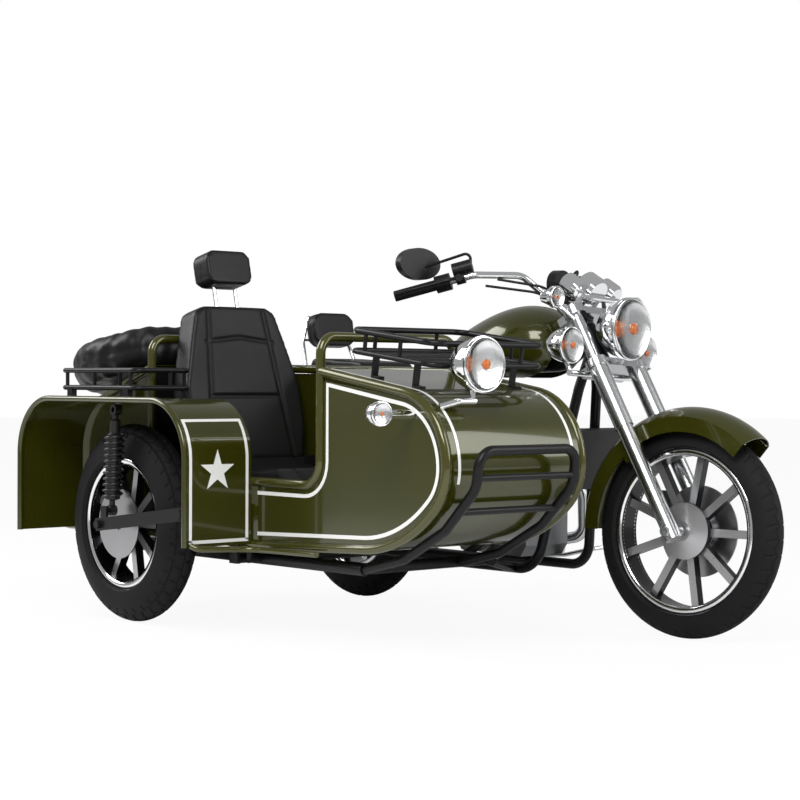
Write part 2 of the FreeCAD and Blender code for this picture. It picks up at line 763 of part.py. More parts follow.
for side in (-1, 1):
    stud_foot = Vector(70, side * size.rail_half, size.rail_height - 22)
    frame_shapes.append(bar_shape(stud_foot, Vector(70, side * (size.shock_half + 16), size.rail_height - 22), 8))
    frame_shapes.append(block_shape(Vector(54, side * size.rail_half - 4, size.rail_height - 34),
                                    Vector(86, side * size.rail_half + 4, size.rail_height)))
cross_x = size.cradle_rear + 13
frame_shapes.append(bar_shape(Vector(cross_x, -size.cradle_half, size.pivot_height),
                              Vector(cross_x, size.cradle_half, size.pivot_height), 9))
frame_shapes.append(bar_shape(Vector(-126, -size.rail_half, size.rail_height),
                              Vector(-126, size.rail_half, size.rail_height), 10))
frame_shapes.append(bar_shape(Vector(-126, 0, size.rail_height), Vector(-126, 0, size.rear_tyre_radius * 2), 8))
main_frame = doc.addObject("Part::Feature", "main_frame")
main_frame.Shape = frame_shapes[0].fuse(frame_shapes[1:]).cut(head_bore)
keep(main_frame)

engine_case = padded("crankcase", "XZ_Plane", [
    (610, 210), (880, 205), (905, 240), (905, 380), (860, 430), (640, 430), (585, 380), (585, 240),
], "190", midplane=True)
covers = []
for side, name in ((-1, "right"), (1, "left")):
    cover = turned("crank_cover_" + name, [("0.1", "0"), ("104", "0"), ("104", "30"), ("92", "42"), ("0.1", "46")])
    cover.Placement = Placement(Vector(700, side * 94, 315), Rotation(Vector(1, 0, 0), 0 if side > 0 else 180))
    covers.append(cover)
keep(fused("engine_case", [engine_case] + covers))

cylinders = []
for lean, name in ((32, "front"), (-32, "rear")):
    barrel = padded("cylinder_" + name, "XY_Plane", box_corners(-62, -58, 62, 58), "205")
    barrel = rounded(barrel, straight_along(Vector(0, 0, 1)), "26")
    seat = Vector(750, 0, 330) + Rotation(Vector(0, 1, 0), lean).multVec(Vector(0, 0, 120))
    barrel.Placement = Placement(seat, Rotation(Vector(0, 1, 0), lean))
    cylinders.append(barrel)
cylinder_pair = group("cylinder_pair", cylinders)
keep(cut_from("engine_cylinders", cylinder_pair, block("case_room", Vector(560, -100, 300), Vector(930, 100, 430.3))))

radiator = padded("radiator", "XZ_Plane", box_corners(-15, -95, 15, 95), "260", midplane=True)
radiator.Placement = Placement(Vector(size.cradle_front + 101.7, 0, 520), Rotation(Vector(0, 1, 0), 14))
keep(radiator)

pipe_side = 178
header_front = [Vector(905, 52, 470), Vector(950, 120, 420), Vector(900, pipe_side, 260), Vector(620, pipe_side, 210),
                Vector(380, pipe_side + 8, 232)]
header_rear = [Vector(640, 50, 545), Vector(600, 130, 500), Vector(560, pipe_side + 4, 330), Vector(380, pipe_side + 8, 262)]
silencer_start = Vector(381, pipe_side + 8, 240)
silencer_end = Vector(-330, pipe_side + 8, 285)
keep(welded("exhaust", [
    bent_tube(header_front, 19, 70),
    bent_tube(header_rear, 19, 60),
    bar_shape(silencer_start, silencer_end, 44),
]))

tank_sections = []
for index, (along, half, tall, middle) in enumerate((
        (505, 62, 40, 846), (600, 112, 78, 862), (720, 146, 108, 876), (840, 152, 122, 882), (930, 128, 104, 880),
        (985, 74, 64, 876))):
    section = doc.addObject("Part::Ellipse", "tank_section_%d" % index)
    section.setExpression("MajorRadius", bound("tank_half_width * %s" % (half / 152)))
    section.MinorRadius = tall
    section.Placement = Placement(Vector(along, 0, middle), Rotation(Vector(1, 1, 1), 120))
    tank_sections.append(section)
tank_loft = doc.addObject("Part::Loft", "tank_loft")
tank_loft.Sections = tank_sections
tank_loft.Solid = True
tunnel = block("tank_tunnel", Vector(480, -62, 700), Vector(900, 62, size.backbone_height + 29.9))
head_room = block("tank_head_room", Vector(899, -62, 700), Vector(1010, 62, size.backbone_height + 46))
tank_flat = block("tank_flat", Vector(480, -220, 600), Vector(1010, 220, 772))
keep(cut_from("fuel_tank", tank_loft, fused("tank_room", [tunnel, head_room, tank_flat])))

seat_foot = size.rail_height + 14
rider_seat = padded("rider_seat_blank", "XZ_Plane", [
    (-150, seat_foot), (498, seat_foot + 84), (498, "seat_top + 22"), (330, "seat_top - 20"), (160, "seat_top - 6"),
    (120, "seat_top + 36"), (-140, "seat_top + 50"), (-158, "seat_top + 20"),
], "236", midplane=True)
keep(cut_from("rider_seat", rider_seat, block("rail_room", Vector(-200, -140, 600), Vector(600, 140, seat_foot + 0.3))))

pad_place = Vector(-207.5, 0, 936)
backrest_pad = padded("backrest_pad", "YZ_Plane", box_corners(-92, -60, 92, 60), "52")
backrest_pad = rounded(backrest_pad, straight_along(Vector(1, 0, 0)), "42")
backrest_pad.Placement = Placement(pad_place, Rotation(Vector(0, 1, 0), -10))
keep(backrest_pad)
backrest_shapes = []
for side in (-1, 1):
    backrest_shapes.append(bent_tube([
        Vector(-40, side * 128, size.rail_height - 4), Vector(-150, side * 128, size.rail_height + 60),
        Vector(-212, side * 104, 900), Vector(-224, side * 70, 986)], 7, 60))
    backrest_shapes.append(block_shape(Vector(-62, min(side * 113.3, side * 135), size.rail_height - 12),
                                       Vector(-20, max(side * 113.3, side * 135), size.rail_height + 8)))
backrest_shapes.append(bar_shape(Vector(-224, -72, 986), Vector(-224, 72, 986), 7))
backrest_shapes.append(bar_shape(Vector(-210, -104, 905), Vector(-210, 104, 905), 5))
keep(welded("backrest_frame", backrest_shapes))

rear_fender_inner = size.rear_tyre_radius + size.rear_fender_gap
rear_fender = fender_ring(rear_fender_inner, 76, 3, 40, 48, 124, REAR_AXLE)
rear_fender_feature = doc.addObject("Part::Feature", "rear_fender")
rear_fender_feature.Shape = rear_fender
keep(rear_fender_feature)

side_covers = []
for side, name in ((-1, "right"), (1, "left")):
    cover = padded("side_cover_" + name, "XZ_Plane", [
        (200, 470), (400, 440), (455, 560), (430, 692), (230, 696), (180, 590)], "22", flip=side > 0)
    cover.Placement.Base = Vector(0, side * (size.rail_half + 13 + size.fit_gap), 0)
    side_covers.append(cover)
keep(group("side_covers", side_covers))

arm_shapes = [bar_shape(Vector(420, -104, size.pivot_height), Vector(420, 104, size.pivot_height), 22),
              bar_shape(Vector(360, -90, size.pivot_height), Vector(360, 90, size.pivot_height), 14)]
for side in (-1, 1):
    leg_y = side * size.swingarm_half
    arm_shapes.append(bar_shape(Vector(420, leg_y, size.pivot_height), Vector(0, leg_y, size.rear_tyre_radius), 15))
    arm_shapes.append(bar_shape(Vector(36, leg_y, size.rear_tyre_radius + 2),
                                Vector(36, side * (size.shock_half + 16), size.rear_tyre_radius + 2), 8))
    arm_shapes.append(block_shape(Vector(-34, leg_y - 9, size.rear_tyre_radius - 20),
                                  Vector(20, leg_y + 9, size.rear_tyre_radius + 20)))
    low_y, high_y = sorted((leg_y - side * 8, side * 61))
    arm_shapes.append(bar_shape(Vector(0, low_y, size.rear_tyre_radius), Vector(0, high_y, size.rear_tyre_radius), 14))
arm_shapes.append(bar_shape(Vector(0, -118, size.rear_tyre_radius), Vector(0, 118, size.rear_tyre_radius), size.axle_radius))
pivot_bolt = bar_shape(Vector(420, -118, size.pivot_height), Vector(420, 118, size.pivot_height), 8)
keep(welded("swingarm", arm_shapes + [pivot_bolt]))


def shock(label, foot, head, body_radius, eye):
    """A coil-over shock absorber with an eye at each end, standing along its own Y axis."""
    length = (head - foot).Length
    body = turned(label, [
        ("0.1", 16), (9, 16), (9, 30), (body_radius, 36), (body_radius, length - 78),
        (body_radius - 8, length - 70), (body_radius - 8, length - 34), (9, length - 28), (9, length - 16), ("0.1", length - 16)])
    body.Placement = Placement(foot, Rotation(Vector(0, 1, 0), head - foot))
    turn_y = Vector(0, 1, 0)
    eyes = []
    for end, spot in (("foot", foot), ("head", head)):
        ring = turned(label + "_" + end, [(8.3, -eye), (17, -eye), (17, eye), (8.3, eye)])
        ring.Placement = Placement(spot, Rotation(Vector(0, 0, 1), 0))
        eyes.append(ring)
    return fused(label + "_unit", [body] + eyes)


rear_shock = shock("rear_shock_left", Vector(36, size.shock_half, size.rear_tyre_radius + 2),
                   Vector(70, size.shock_half, size.rail_height - 22), 25, 10)
keep(group("rear_shocks", [rear_shock, mirrored(rear_shock, "rear_shock_right")]))

control_shapes = []
for side in (-1, 1):
    inner_y = side * (size.cradle_half + tube - 4)
    foot_rest = Vector(690, inner_y, 190)
    control_shapes.append(bar_shape(foot_rest, Vector(690, side * 296, 198), 15))
    control_shapes.append(bent_tube([Vector(720, side * 150, 186), Vector(800, side * 196, 190), Vector(905, side * 206, 215),
                                     Vector(912, side * 250, 218)], 7, 30))
    control_shapes.append(bar_shape(Vector(690, side * 150, 190), Vector(726, side * 150, 186), 12))
keep(welded("foot_controls", control_shapes))

chain_case = padded("chain_case_blank", "XZ_Plane", [
    (0, "rear_tyre_radius - 112"), (440, 240), (455, 300), (440, 372), (0, "rear_tyre_radius + 112", "112"),
    (-112, "rear_tyre_radius", "112")], "9")
chain_case.Placement.Base = Vector(0, 119.3, 0)
chain_rooms = []
for name, x, z, radius in (("axle", 0, size.rear_tyre_radius, size.axle_radius + 2),
                           ("stud", 36, size.rear_tyre_radius + 2, 11), ("pivot", 420, size.pivot_height, 11)):
    chain_rooms.append(rod(name + "_room", Vector(x, 100, z), Vector(x, 140, z), radius))
keep(cut_from("chain_case", chain_case, fused("chain_case_room", chain_rooms)))

lamp_pieces = []
tail_lamp = lamp("tail_lamp", "42", "46", Vector(-372, 0, 560), Rotation(Vector(0, 0, 1), 90))
plate_board = block("number_plate", Vector(-392, -85, 410), Vector(-389, 85, 500))
plate_arm = block("plate_arm", Vector(-389, -14, 440), Vector(-277, 14, 520))
lamp_pieces += [tail_lamp, plate_board, plate_arm]

# ---------------------------------------------------------------- sidecar body

def nose_profile(offset):
    """The sidecar's side outline from its floor round the nose to the cowl, moved out by offset.
    Corners are (x, z) with the radius of the arc that leads to the next one."""
    deck_x = "(nose_x - deck_bend + (deck_bend + %s) * sin(deck_slope * 1 deg))" % offset
    deck_z = "(nose_z + (deck_bend + %s) * cos(deck_slope * 1 deg))" % offset
    cowl_z = "(%s + (%s - cowl_x) * tan(deck_slope * 1 deg))" % (deck_z, deck_x)
    tip_x = "(nose_x + %s)" % offset
    chin_x = "(nose_x - chin_bend + (chin_bend + %s) * cos(45 deg))" % offset
    chin_z = "(nose_z - (chin_bend + %s) * sin(45 deg))" % offset
    belly_centre_x = "(nose_x - chin_bend + (chin_bend - belly_bend) * cos(45 deg))"
    belly_centre_z = "(nose_z - (chin_bend - belly_bend) * sin(45 deg))"
    belly_x = "(%s + (belly_bend + %s) * sin(belly_slope * 1 deg))" % (belly_centre_x, offset)
    belly_z = "(%s - (belly_bend + %s) * cos(belly_slope * 1 deg))" % (belly_centre_z, offset)
    floor_x = "(%s - (%s - floor_z + %s) / tan(belly_slope * 1 deg))" % (belly_x, belly_z, offset)
    return [
        (floor_x, "(floor_z - (%s))" % offset, None),
        (belly_x, belly_z, "(belly_bend + %s)" % offset),
        (chin_x, chin_z, "(chin_bend + %s)" % offset),
        (tip_x, "nose_z", "(deck_bend + %s)" % offset),
        (deck_x, deck_z, None),
        ("cowl_x", cowl_z, None),
    ]


def tail_profile(offset):
    """The tail's side outline from its sloping top round the end to the floor, moved out by offset."""
    slope = "tan(tail_slope * 1 deg)"
    top_z = "(tail_top_z + (%s) / cos(tail_slope * 1 deg))" % offset
    bend = "(tail_bend + %s)" % offset
    centre_x = "(-tail_x + tail_bend)"
    top_centre_z = "(tail_top_z - (tail_front_x + tail_x - tail_bend) * %s - tail_bend / cos(tail_slope * 1 deg))" % slope
    shoulder_x = "(%s - %s * sin(tail_slope * 1 deg))" % (centre_x, bend)
    shoulder_z = "(%s + %s * cos(tail_slope * 1 deg))" % (top_centre_z, bend)
    return [
        ("tail_front_x", top_z, None),
        (shoulder_x, shoulder_z, bend),
        ("(-tail_x - (%s))" % offset, top_centre_z, None),
        ("(-tail_x - (%s))" % offset, "(floor_z + tail_bend)", bend),
        (centre_x, "(floor_z - (%s))" % offset, None),
    ]


def with_bends(profile):
    """Outline corners of a profile, each with its bend where it has one."""
    return [(x, z, bend) if bend else (x, z) for x, z, bend in profile]


def ribbon(profile, outside, inside):
    """The closed outline of a sheet that follows a profile between two offsets."""
    outer = profile(outside)
    inner = profile(inside)
    corners = with_bends(outer)
    for index in range(len(inner) - 1, -1, -1):
        x, z, _ = inner[index]
        bend = inner[index - 1][2] if index else None
        corners.append((x, z, "-" + bend) if bend else (x, z))
    return corners


BODY_MIDDLE = -(size.panel_outer + size.panel_inner) / 2
BODY_WIDTH = "panel_outer - panel_inner - 2 * edge_radius - 2 * fit_gap"


def across_body(label, corners, flip=False):
    """A sheet that spans the sidecar between its two edge tubes."""
    body = padded(label, "XZ_Plane", corners, BODY_WIDTH, midplane=True)
    body.Placement.Base = Vector(0, BODY_MIDDLE, 0)
    return body


SKIN_OUT = "edge_radius / 2"
SKIN_IN = "(edge_radius / 2 - sheet)"
keep(across_body("nose_shell", ribbon(nose_profile, SKIN_OUT, SKIN_IN)))
keep(across_body("tail_shell", ribbon(tail_profile, SKIN_OUT, SKIN_IN)))
floor_front = nose_profile(SKIN_OUT)[0][0]
floor_low = "(floor_z - %s)" % SKIN_OUT
floor_pan = across_body("floor_pan", [
    ("(-tail_x + tail_bend + fit_gap)", floor_low), (floor_front + " - fit_gap", floor_low),
    (floor_front + " - fit_gap", floor_low + " + sheet"), ("(-tail_x + tail_bend + fit_gap)", floor_low + " + sheet")])
bulkhead = across_body("seat_bulkhead", box_corners(
    "tail_front_x + fit_gap", floor_low + " + sheet + fit_gap", "tail_front_x + fit_gap + sheet", "tail_top_z"))
keep(group("cockpit_floor", [floor_pan, bulkhead]))
cowl_z = nose_profile("0")[5][1]


def panel_profile(offset, opened):
    """The closed outline of a side panel, anticlockwise from the floor."""
    nose = with_bends(nose_profile(offset))
    tail = with_bends(tail_profile(offset))
    front_x = "(cowl_x - (%s))" % offset
    if opened:
        # the passenger's opening: a cowl post, a sill with rounded corners, and a rear post
        sill = "(sill_z + (%s))" % offset
        bend = "(70 - (%s))" % offset
        middle = [
            (front_x, nose[5][1] + " + (%s)" % offset),
            (front_x, "(sill_z + 70)", "-" + bend),
            ("(cowl_x - 70)", sill),
            ("(tail_front_x + 70)", sill, "-" + bend),
            ("(tail_front_x + (%s))" % offset, "(sill_z + 70)"),
            ("(tail_front_x + (%s))" % offset, tail[0][1]),
        ]
        return nose[:5] + middle + tail[1:]
    return nose[:6] + tail


PANEL_IN = "(-edge_radius - fit_gap)"
outer_panel = padded("outer_panel", "XZ_Plane", panel_profile(PANEL_IN, True), "sheet", midplane=True)
outer_panel.Placement.Base = Vector(0, -size.panel_outer, 0)
keep(outer_panel)
inner_panel = padded("inner_panel", "XZ_Plane", panel_profile(PANEL_IN, False), "sheet", midplane=True)
inner_panel.Placement.Base = Vector(0, -size.panel_inner, 0)
keep(inner_panel)


def flat_wire(corners, side):
    """The wire of an outline's lines and arcs, upright at one side of the vehicle."""
    spots = [Vector(value_of(corner[0]), side, value_of(corner[1])) for corner in corners]
    edges = []
    for index, corner in enumerate(corners):
        here = spots[index]
        there = spots[(index + 1) % len(spots)]
        if len(corner) == 2:
            edges.append(Part.LineSegment(here, there).toShape())
            continue
        inward = corner[2].startswith("-")
        radius = value_of(corner[2].lstrip("-"))
        run = there - here
        left = Vector(-run.z, 0, run.x).normalize() * (-1 if inward else 1)
        reach = math.sqrt(max(radius ** 2 - (run.Length / 2) ** 2, 0))
        centre = here + run * 0.5 + left * reach
        middle = centre - left * radius
        edges.append(Part.Arc(here, middle, there).toShape())
    return Part.Wire(edges)


def tube_round(corners, side, radius, closed=True):
    """A round tube along an outline at one side of the vehicle."""
    wire = flat_wire(corners, side)
    first = wire.Edges[0]
    start = first.valueAt(first.FirstParameter)
    along = first.tangentAt(first.FirstParameter)
    ring = Part.Wire([Part.Circle(start, along, radius).toShape()])
    return wire.makePipeShell([ring], True, False, 2)


edge = size.edge_radius
cowl_height = value_of(cowl_z)
hoop_top = cowl_height + size.hoop_height
hoop_shapes = []
for side, opened in ((-size.panel_outer, True), (-size.panel_inner, False)):
    hoop_shapes.append(tube_round(panel_profile("0", opened), side, edge))
for x, foot_z, top_z in ((size.cowl_x, cowl_height, hoop_top), (size.tail_front_x, size.tail_top_z, size.tail_top_z + 92)):
    hoop_shapes.append(bent_tube([
        Vector(x, -size.panel_outer, foot_z - 10), Vector(x, -size.panel_outer, top_z),
        Vector(x, -size.panel_inner, top_z), Vector(x, -size.panel_inner, foot_z - 10)], edge, 60))
keep(welded("body_rails", hoop_shapes))

# Fender over the sidecar wheel: a sheet arch with a rolled edge, closed by the outer panel.
fender_half_depth = "(fender_outer - panel_outer - edge_radius - 1) / 2"


def arch_profile(offset):
    """The arch's side outline from its front foot over the top to its rear foot."""
    bend = "(fender_bend + %s)" % offset
    top = "(fender_top - fender_edge_radius + %s)" % offset
    return [
        ("(fender_front + %s)" % offset, "fender_foot", None),
        ("(fender_front + %s)" % offset, "(fender_top - fender_edge_radius - fender_bend)", bend),
        ("(fender_front - fender_bend)", top, None),
        ("(-fender_rear + fender_bend)", top, bend),
        ("(-fender_rear - %s)" % offset, "(fender_top - fender_edge_radius - fender_bend)", None),
        ("(-fender_rear - %s)" % offset, "fender_foot", None),
    ]


fender_sheet = padded("fender_sheet", "XZ_Plane", ribbon(arch_profile, "(fender_edge_radius / 2)", "(fender_edge_radius / 2 - sheet)"),
                      "fender_outer - panel_outer - edge_radius - 1", midplane=True)
fender_sheet.Placement.Base = Vector(0, -(size.fender_outer + size.panel_outer + edge + 1) / 2, 0)
arch_wire_corners = with_bends(arch_profile("0"))
edge_wire = Part.Wire(flat_wire(arch_wire_corners, -size.fender_outer).Edges[:-1])
edge_start = edge_wire.Edges[0].valueAt(edge_wire.Edges[0].FirstParameter)
edge_ring = Part.Wire([Part.Circle(edge_start, Vector(0, 0, 1), size.fender_edge_radius).toShape()])
fender_edge = doc.addObject("Part::Feature", "fender_edge")
fender_edge.Shape = edge_wire.makePipeShell([edge_ring], True, False)
shock_hanger_x = SIDECAR_AXLE.x + 42
shock_hanger = block("shock_hanger", Vector(shock_hanger_x - 15, -size.fender_outer + 61, size.fender_top - 56),
                     Vector(shock_hanger_x + 15, -size.fender_outer + 66, size.fender_top - 6.5))
shock_pin = rod("shock_pin", Vector(shock_hanger_x, -size.fender_outer + 62, size.fender_top - 42),
                Vector(shock_hanger_x, -size.fender_outer + 60.3, size.fender_top - 42), 8)
keep(fused("sidecar_fender", [fender_sheet, fender_edge, shock_hanger, shock_pin]))

# ---------------------------------------------------------------- sidecar frame and guards

beam = size.beam_radius
beam_z = size.beam_height
outer_beam_y = -size.panel_outer + 55
inner_beam_y = -size.panel_inner + 34
cross_xs = (-380, 560, 1010)
frame_shapes = [
    bar_shape(Vector(-420, outer_beam_y, beam_z), Vector(1030, outer_beam_y, beam_z), beam),
    bar_shape(Vector(-420, inner_beam_y, beam_z), Vector(1030, inner_beam_y, beam_z), beam),
]
body_foot_top = size.floor_z - edge - size.fit_gap
for x in cross_xs:
    frame_shapes.append(bar_shape(Vector(x, outer_beam_y, beam_z), Vector(x, inner_beam_y, beam_z), beam - 2))
for x in cross_xs[:2]:
    for y in (-size.panel_outer, -size.panel_inner):
        out_y = y - 22 if y == -size.panel_outer else y + 4
        frame_shapes.append(bar_shape(Vector(x, outer_beam_y, beam_z), Vector(x, -size.panel_outer - 6, beam_z), 12))
        frame_shapes.append(bar_shape(Vector(x, y, beam_z - 4), Vector(x, y, body_foot_top), 11))
wheel_pivot = Vector(size.sidecar_lead + 420, -size.panel_outer, size.sidecar_tyre_radius + 52)
frame_shapes.append(bar_shape(Vector(wheel_pivot.x, outer_beam_y, beam_z),
                              Vector(wheel_pivot.x, -size.panel_outer - 28, beam_z), 15))
frame_shapes.append(block_shape(Vector(wheel_pivot.x - 20, -size.panel_outer - 32, beam_z - 14),
                                Vector(wheel_pivot.x + 20, -size.panel_outer - 20, wheel_pivot.z + 24)))
strut_start = inner_beam_y
frame_half = size.cradle_half + tube + size.fit_gap
struts = (
    (Vector(980, strut_start, beam_z), Vector(880, -frame_half, size.cradle_floor)),
    (Vector(430, strut_start, beam_z), Vector(520, -frame_half, size.cradle_floor)),
    (Vector(900, strut_start, beam_z), Vector(1020, -frame_half - 6, 400)),
    (Vector(170, strut_start, beam_z), Vector(140, -size.rail_half - 10, size.rail_height)),
)
for start, end in struts:
    frame_shapes.append(bar_shape(start, end, 14))
sidecar_frame = welded("sidecar_frame", frame_shapes)
keep(sidecar_frame)

guard = size.guard_radius
guard_low_y = outer_beam_y
guard_high_y = -size.panel_inner - 96
guard_top = 574


def guard_leg(side):
    """The guard's leg from its top bar down round the nose and back under the floor."""
    reach = size.guard_reach
    return [
        Vector(size.nose_x + reach + 10, side, guard_top),
        Vector(size.nose_x + reach - 6, side, 470),
        Vector(size.nose_x - 62, side, 352),
        Vector(size.nose_x - 230, side, 262),
        Vector(1030 + 0.3, side, beam_z if side == outer_beam_y else beam_z),
    ]


near_leg = guard_leg(guard_low_y)
far_leg = guard_leg(guard_high_y)
guard_path = list(reversed(near_leg)) + far_leg
guard_shapes = [bent_tube(guard_path, guard, 70)]
for height, share in ((500, 0.30), (405, 0.0)):
    if share:
        x = size.nose_x + size.guard_reach - 2
    else:
        x = size.nose_x - 8
    guard_shapes.append(bar_shape(Vector(x, guard_low_y, height), Vector(x, guard_high_y, height), 10))
keep(welded("nose_guard", guard_shapes))

# Deck rack: two rings with corner posts and slats, on channel feet bolted to the deck.
deck_turn = Rotation(Vector(0, 1, 0), size.deck_slope * 0.8)
rack_corner_x = size.cowl_x + 72
rack_base = Placement(Vector(rack_corner_x, BODY_MIDDLE, cowl_height - 11 + size.rack_lift), deck_turn)


def on_rack(along, side, up):
    """A point in the vehicle's frame from its place on the deck rack."""
    return rack_base.multVec(Vector(along, side, up))


def rack_ring(length, half, up, placing):
    """The four corners of a rack's ring."""
    return [placing(0, -half, up), placing(length, -half, up), placing(length, half, up), placing(0, half, up)]


half = size.deck_rack_half
length = size.deck_rack_length
rise = size.rack_rise
rack_shapes = [
    bent_tube(rack_ring(length, half, 0, on_rack), size.rack_radius, 46, True),
    bent_tube(rack_ring(length, half, rise, on_rack), size.rack_radius + 1, 46, True),
]
for along in (70, length / 2 + 40):
    for side in (-half, half):
        rack_shapes.append(bar_shape(on_rack(along, side, 0), on_rack(along, side, rise), 6))
for side in (-half * 0.55, half * 0.55):
    for along in (0, length):
        rack_shapes.append(bar_shape(on_rack(along, side, 0), on_rack(along, side, rise), 6))
for step in range(1, 6):
    along = length * step / 6
    rack_shapes.append(bar_shape(on_rack(along, -half, -2), on_rack(along, half, -2), 5))
deck_slope = size.deck_slope


def deck_point(x, y, gap):
    """A point on the deck's outer skin."""
    rise_at = (size.cowl_x - x) * math.tan(math.radians(deck_slope))
    return Vector(x, y, cowl_height + (edge / 2 + gap) / math.cos(math.radians(deck_slope)) + rise_at)


for along in (88, length - 96):
    for side in (-half + 30, half - 30):
        top = on_rack(along, side, 0)
        base = deck_point(top.x, top.y, size.fit_gap)
        foot = Part.makeBox(34, 22, 6, Vector(-12, -11, 0))
        post = Part.makeBox(6, 22, (top - base).Length + 2, Vector(-12, -11, 0))
        channel = foot.fuse(post)
        channel.Placement = Placement(base, Rotation(Vector(0, 1, 0), deck_slope))
        rack_shapes.append(channel)
    rack_shapes.append(bar_shape(on_rack(along - 9, -half, -2), on_rack(along - 9, half, -2), 6))
keep(welded("deck_rack", rack_shapes))

fender_rack_low = size.fender_top + size.rack_radius + 18
fender_rack_y = -size.fender_outer + 26
fender_rack_x = -130


def on_fender_rack(along, side, up):
    """A point in the vehicle's frame from its place on the fender's rack."""
    return Vector(fender_rack_x + along, fender_rack_y + size.fender_rack_half + side, fender_rack_low + up)


half = size.fender_rack_half
length = size.fender_rack_length
rack_shapes = [
    bent_tube(rack_ring(length, half, 0, on_fender_rack), size.rack_radius, 30, True),
    bent_tube(rack_ring(length, half, 54, on_fender_rack), size.rack_radius, 30, True),
]
for along in (34, length - 34):
    for side in (-half, half):
        rack_shapes.append(bar_shape(on_fender_rack(along, side, 0), on_fender_rack(along, side, 54), 6))
rack_shapes.append(bar_shape(on_fender_rack(length, 24, 0), on_fender_rack(length, 24, 54), 6))
rack_shapes.append(bar_shape(on_fender_rack(0, 24, 0), on_fender_rack(0, 24, 54), 6))
fender_skin_top = size.fender_top - size.fender_edge_radius / 2
for along in (60, length - 50):
    for side in (-half, half):
        foot_low = on_fender_rack(along, side, 0)
        base_z = fender_skin_top + size.fit_gap if side > 0 else size.fender_top + size.fit_gap
        rack_shapes.append(block_shape(Vector(foot_low.x - 14, foot_low.y - 9, base_z if side > 0 else fender_skin_top + size.fit_gap),
                                       Vector(foot_low.x + 14, foot_low.y + 9, foot_low.z)))
keep(welded("fender_rack", rack_shapes))

step_bar_y = -size.panel_outer - edge - 14
keep(welded("step_bar", [bent_tube([
    Vector(size.fender_front + 8, -size.fender_outer + 16, size.fender_foot + 6),
    Vector(size.fender_front + 26, -size.fender_outer + 30, size.fender_foot - 4),
    Vector(size.fender_front + 40, step_bar_y - 10, size.fender_foot - 12),
    Vector(size.fender_front + 330, step_bar_y, size.floor_z - 8)], 9, 60)]))

# ---------------------------------------------------------------- sidecar seat

seat_low = size.seat_base_z
cushion = padded("seat_cushion_blank", "XZ_Plane", [
    (215, seat_low + 30), (660, seat_low + 10), (690, seat_low + 50), ("690", "cushion_top - 30"), ("640", "cushion_top + 6"),
    ("420", "cushion_top - 14"), ("215", "cushion_top + 30")], "2 * seat_half", midplane=True)
cushion.Placement.Base = Vector(0, BODY_MIDDLE, 0)
back = padded("seat_back", "YZ_Plane", [
    ("-seat_half + 30", "cushion_top - 6"), ("seat_half - 30", "cushion_top - 6"), ("seat_half", "cushion_top + 120"),
    ("seat_half", "cushion_top + 240"), ("seat_half - 44", "seat_back_top - 100"), ("seat_half - 70", "seat_back_top - 16"),
    ("seat_half - 100", "seat_back_top"), ("100 - seat_half", "seat_back_top"), ("70 - seat_half", "seat_back_top - 16"),
    ("44 - seat_half", "seat_back_top - 100"), ("-seat_half", "cushion_top + 240"), ("-seat_half", "cushion_top + 120"),
], "90")
back.Placement = Placement(Vector(156, BODY_MIDDLE, 0), Rotation(Vector(0, 1, 0), -13), Vector(0, 0, size.cushion_top))
keep(back)
seat_lean = back.Placement
back_room = block("seat_back_room", Vector(0, 0, 0), Vector(90 + size.fit_gap, 2 * size.seat_half, 120))
back_room.Placement = seat_lean.multiply(Placement(Vector(0, -size.seat_half, size.cushion_top - 6 - size.fit_gap), Rotation()))
keep(cut_from("seat_cushion", cushion, back_room))


def on_seat(forward, side, up):
    """A point in the vehicle's frame from its place on the seat back."""
    return seat_lean.multVec(Vector(forward, side, up))


head = padded("headrest", "YZ_Plane", box_corners(-88, -56, 88, 56), "86")
head = rounded(head, straight_along(Vector(1, 0, 0)), "34")
head.Placement = Placement(on_seat(6, 0, size.seat_back_top + 136), seat_lean.Rotation)
keep(head)
post_shapes = []
for side in (-42, 42):
    post_shapes.append(bar_shape(on_seat(46, side, size.seat_back_top + size.fit_gap),
                                 on_seat(46, side, size.seat_back_top + 80 - size.fit_gap), 6))
    post_shapes.append(bar_shape(on_seat(46, side, size.seat_back_top + size.fit_gap),
                                 on_seat(46, side, size.seat_back_top + 12), 11))
keep(welded("headrest_posts", post_shapes))

pan_shapes = [block_shape(Vector(205, BODY_MIDDLE - 190, seat_low - 24), Vector(640, BODY_MIDDLE + 190, seat_low + 9.7))]
for x in (280, 580):
    for side in (-150, 150):
        pan_shapes.append(block_shape(Vector(x - 15, BODY_MIDDLE + side - 15, value_of(floor_low) + size.sheet + 0.3),
                                      Vector(x + 15, BODY_MIDDLE + side + 15, seat_low - 24)))
pan_shapes.append(block_shape(Vector(150, BODY_MIDDLE - 150, seat_low - 24), Vector(214.5, BODY_MIDDLE + 150, size.cushion_top)))
keep(welded("seat_frame", pan_shapes))
belt_shapes = [
    block_shape(Vector(330, BODY_MIDDLE - 176, size.cushion_top - 20), Vector(360, BODY_MIDDLE - 120, size.cushion_top + 36)),
    block_shape(Vector(330, BODY_MIDDLE + 130, size.cushion_top - 20), Vector(352, BODY_MIDDLE + 180, size.cushion_top + 30)),
]
keep(welded("seat_belt_buckles", belt_shapes))

# ---------------------------------------------------------------- spare wheel and its carrier

